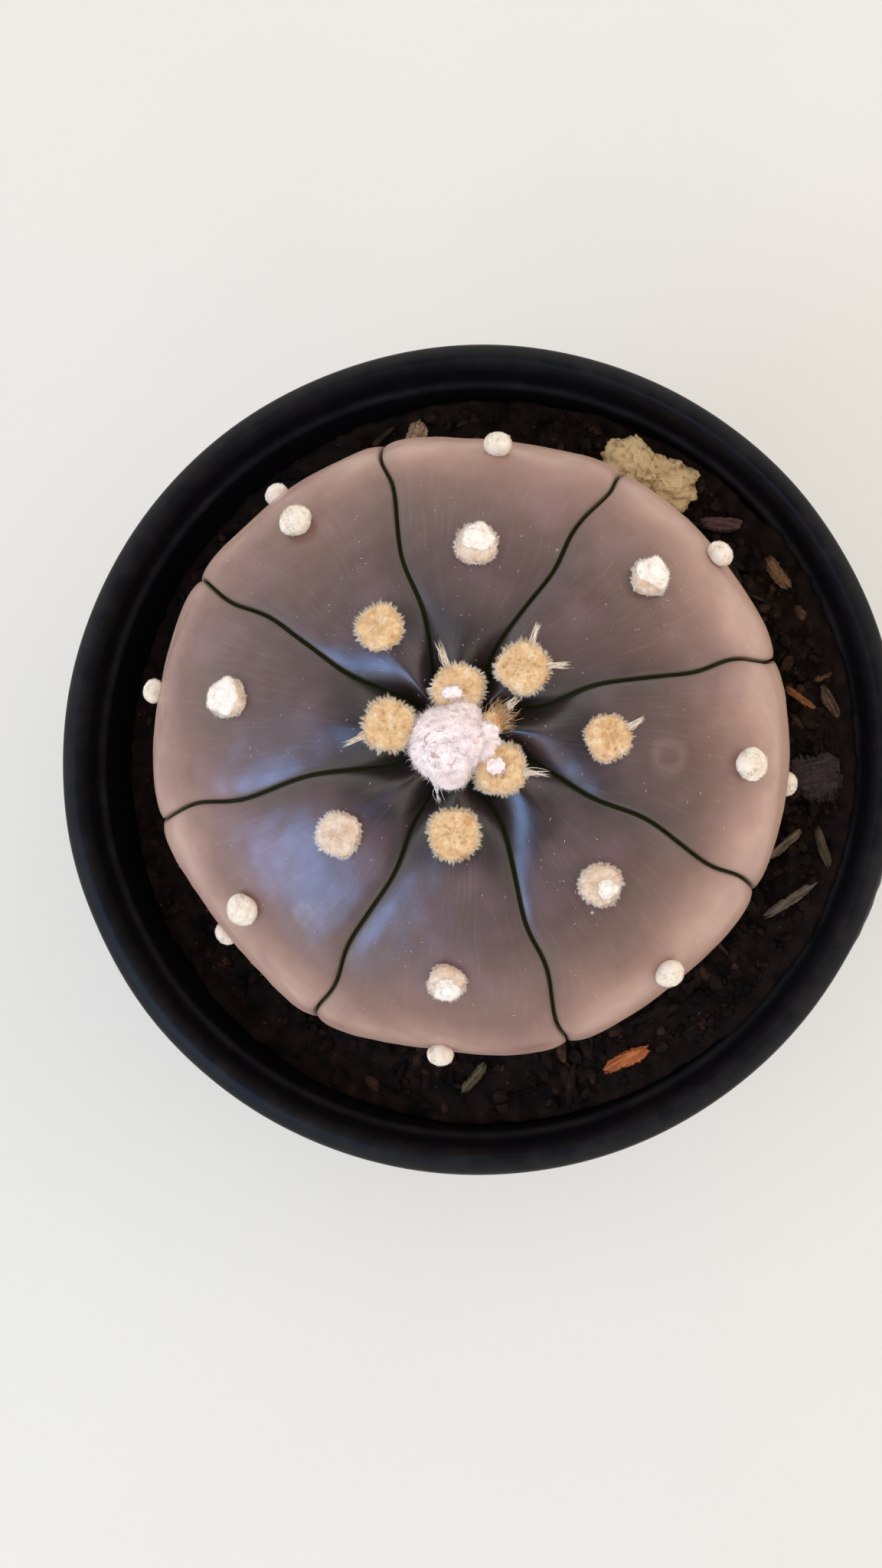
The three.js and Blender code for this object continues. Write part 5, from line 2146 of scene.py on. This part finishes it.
    def _lump(self) -> bpy.types.Object:
        """Make the rough two-lobed lump of grit.

        Returns:
            The piece.
        """
        d = ball_grid(0.05, math.pi - 0.05, 90, 180)
        reach = np.full(d.shape[:2], 1.8)
        for at, size in (((-3.2, 0.9, 0.3), 3.1), ((2.6, -0.7, 0.0), 2.9), ((0.0, 0.2, -0.3), 2.6)):
            b = d @ np.array(at)
            inside = size**2 - np.dot(at, at) + b * b
            reach = np.maximum(reach, np.where(inside > 0, b + np.sqrt(np.maximum(inside, 0)), 0))
        body = d * reach[..., None]
        rough = 0.3 * Ripple(31, 1.9).at(body) + 0.22 * Ripple(32, 0.8, 20).at(body)
        rough = rough + 0.1 * Ripple(33, 0.4, 24).at(body)
        body = body + d * rough[..., None]
        low, high = (np.array(corner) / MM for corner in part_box("pale_lump"))
        turn = math.radians(-12)
        c, s = math.cos(turn), math.sin(turn)
        spin = np.array([[c, -s, 0], [s, c, 0], [0, 0, 0.78]])
        rings = body @ spin.T
        shade = np.clip(0.5 + (rings[..., 2] + 0.6) / 4 + 0.2 * Ripple(34, 1.4).at(body), 0, 1)
        centre = np.array([*self.lump_at, low[2] + (high[2] - low[2]) * 0.5])
        rings = rings + centre
        points, triangles = grid_shell(rings[0].mean(0), rings, rings[-1].mean(0))
        parts = MeshParts()
        parts.add(points, triangles, shade=np.concatenate([[1], shade.ravel(), [0]]))
        piece = parts.piece("grit_lump")
        return self.shop.hand_over(piece, GritFinish("pale_grit", roughness=0.95), "grit", "pale_lump")


# ---------------------------------------------------------------- stage, light and camera


@dataclass(frozen=True)
class Lamp:
    """A soft square lamp: bearing and rise in degrees, distance and side in millimetres, power in watts.

    A gleam only shows in reflections, and a glow only lights matt surfaces.
    """

    name: str
    bearing: float
    rise: float
    distance: float
    size: float
    power: float
    colour: Rgb
    is_gleam: bool


@dataclass
class Studio:
    """A plain pale table, soft light and the camera above the plant."""

    shop: Workshop
    lens: float = 35.0
    sensor: float = 36.0
    aim: tuple[float, float, float] = (-3.57, -3.9, 84.0)
    distance: float = 183.0
    tip_x: float = 4.5
    tip_y: float = 3.8
    sky: float = 1.42
    room: tuple[tuple[float, Rgb], ...] = (
        (0.0, (0.75, 0.75, 0.75)),
        (0.45, (1.0, 1.0, 1.0)),
        (0.72, (0.42, 0.42, 0.42)),
        (0.92, (0.12, 0.12, 0.12)),
        (1.0, (0.08, 0.08, 0.08)),
    )
    walls: tuple[tuple[float, Rgb], ...] = (
        (0.0, (0.96, 0.98, 1.0)),
        (0.5, (1.0, 0.97, 0.94)),
        (1.0, (1.0, 0.93, 0.85)),
    )
    lamps: tuple[Lamp, ...] = (
        Lamp("window", -146, 46, 420, 200, 1.0, tone(134, 184, 255), True),
        Lamp("window_glow", -146, 46, 420, 260, 0.6, tone(212, 230, 255), False),
        Lamp("overhead_glow", 0, 88, 560, 420, 1.1, tone(255, 250, 250), False),
        Lamp("right_wall", 20, 34, 520, 480, 0.5, tone(255, 238, 222), False),
    )

    def build(self) -> None:
        """Set the stage."""
        self._table()
        for lamp in self.lamps:
            self._hang(lamp)
        world = bpy.data.worlds.new("room")
        world.use_nodes = True
        desk = Desk(world.node_tree)
        up = desk.node("SeparateXYZ", Vector=desk.node("TexCoord").outputs["Generated"])
        rise = desk.ramp(desk.map(up.outputs["Z"], 0, 1, 0, 1), list(self.room))
        tint = desk.ramp(desk.map(up.outputs["X"], -1, 1, 0, 1), list(self.walls))
        colour = desk.mix(1.0, rise, tint, "MULTIPLY")
        background = world.node_tree.nodes["Background"]
        world.node_tree.links.new(colour, background.inputs[0])
        background.inputs[1].default_value = self.sky
        bpy.context.scene.world = world
        bpy.context.scene.view_settings.view_transform = "Standard"
        self._camera()

    def _table(self) -> None:
        """Lay the table top."""
        parts = MeshParts()
        size = 900.0
        corners = np.array([[-size, -size, 0], [size, -size, 0], [size, size, 0], [-size, size, 0]])
        parts.add(corners, np.array([[0, 1, 2], [0, 2, 3]]))
        table = parts.piece("table_top", is_smooth=False)
        table.data.materials.append(TableFinish("pale_table", roughness=0.7).material(self.shop.effects))

    def _hang(self, lamp: Lamp) -> None:
        """Hang a soft square lamp.

        Args:
            lamp: Which lamp.
        """
        light = bpy.data.lights.new(lamp.name, "AREA")
        light.size = lamp.size * MM
        light.energy = lamp.power
        light.color = lamp.colour
        turn, rise = math.radians(lamp.bearing), math.radians(lamp.rise)
        way = Vector((math.cos(rise) * math.cos(turn), math.cos(rise) * math.sin(turn), math.sin(rise)))
        place = Vector((0, 0, self.aim[2])) + way * lamp.distance
        piece = bpy.data.objects.new(lamp.name, light)
        aimed = (-way).to_track_quat("-Z", "Y").to_matrix().to_4x4()
        piece.matrix_world = Matrix.Translation(place * MM) @ aimed
        piece.visible_diffuse = not lamp.is_gleam
        piece.visible_glossy = lamp.is_gleam
        bpy.context.scene.collection.objects.link(piece)

    def _camera(self) -> None:
        """Hold the camera almost straight above the plant, tipped a little to +X and -Y."""
        x, y = math.sin(math.radians(self.tip_x)), -math.sin(math.radians(self.tip_y))
        back = Vector((x, y, math.sqrt(1 - x * x - y * y)))
        right = (-back).cross(Vector((0, 1, 0))).normalized()
        up = right.cross(-back)
        place = Vector(self.aim) + back * self.distance
        lens = bpy.data.cameras.new("camera")
        lens.lens = self.lens
        lens.sensor_width = self.sensor
        lens.clip_start = 0.01
        camera = bpy.data.objects.new("camera", lens)
        turn = Matrix((right, up, back)).transposed().to_4x4()
        camera.matrix_world = Matrix.Translation(place * MM) @ turn
        bpy.context.scene.collection.objects.link(camera)
        bpy.context.scene.camera = camera


def main() -> None:
    """Build the plant over its frame."""
    logging.basicConfig(level=logging.INFO, format="%(message)s")
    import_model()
    shop = Workshop()
    Stem(shop).build()
    AreoleWool(shop).build()
    Bud(shop).build()
    SkinLint(shop).build()
    Pot(shop).build()
    Soil(shop).build()
    Studio(shop).build()


if __name__ == "__main__":
    main()
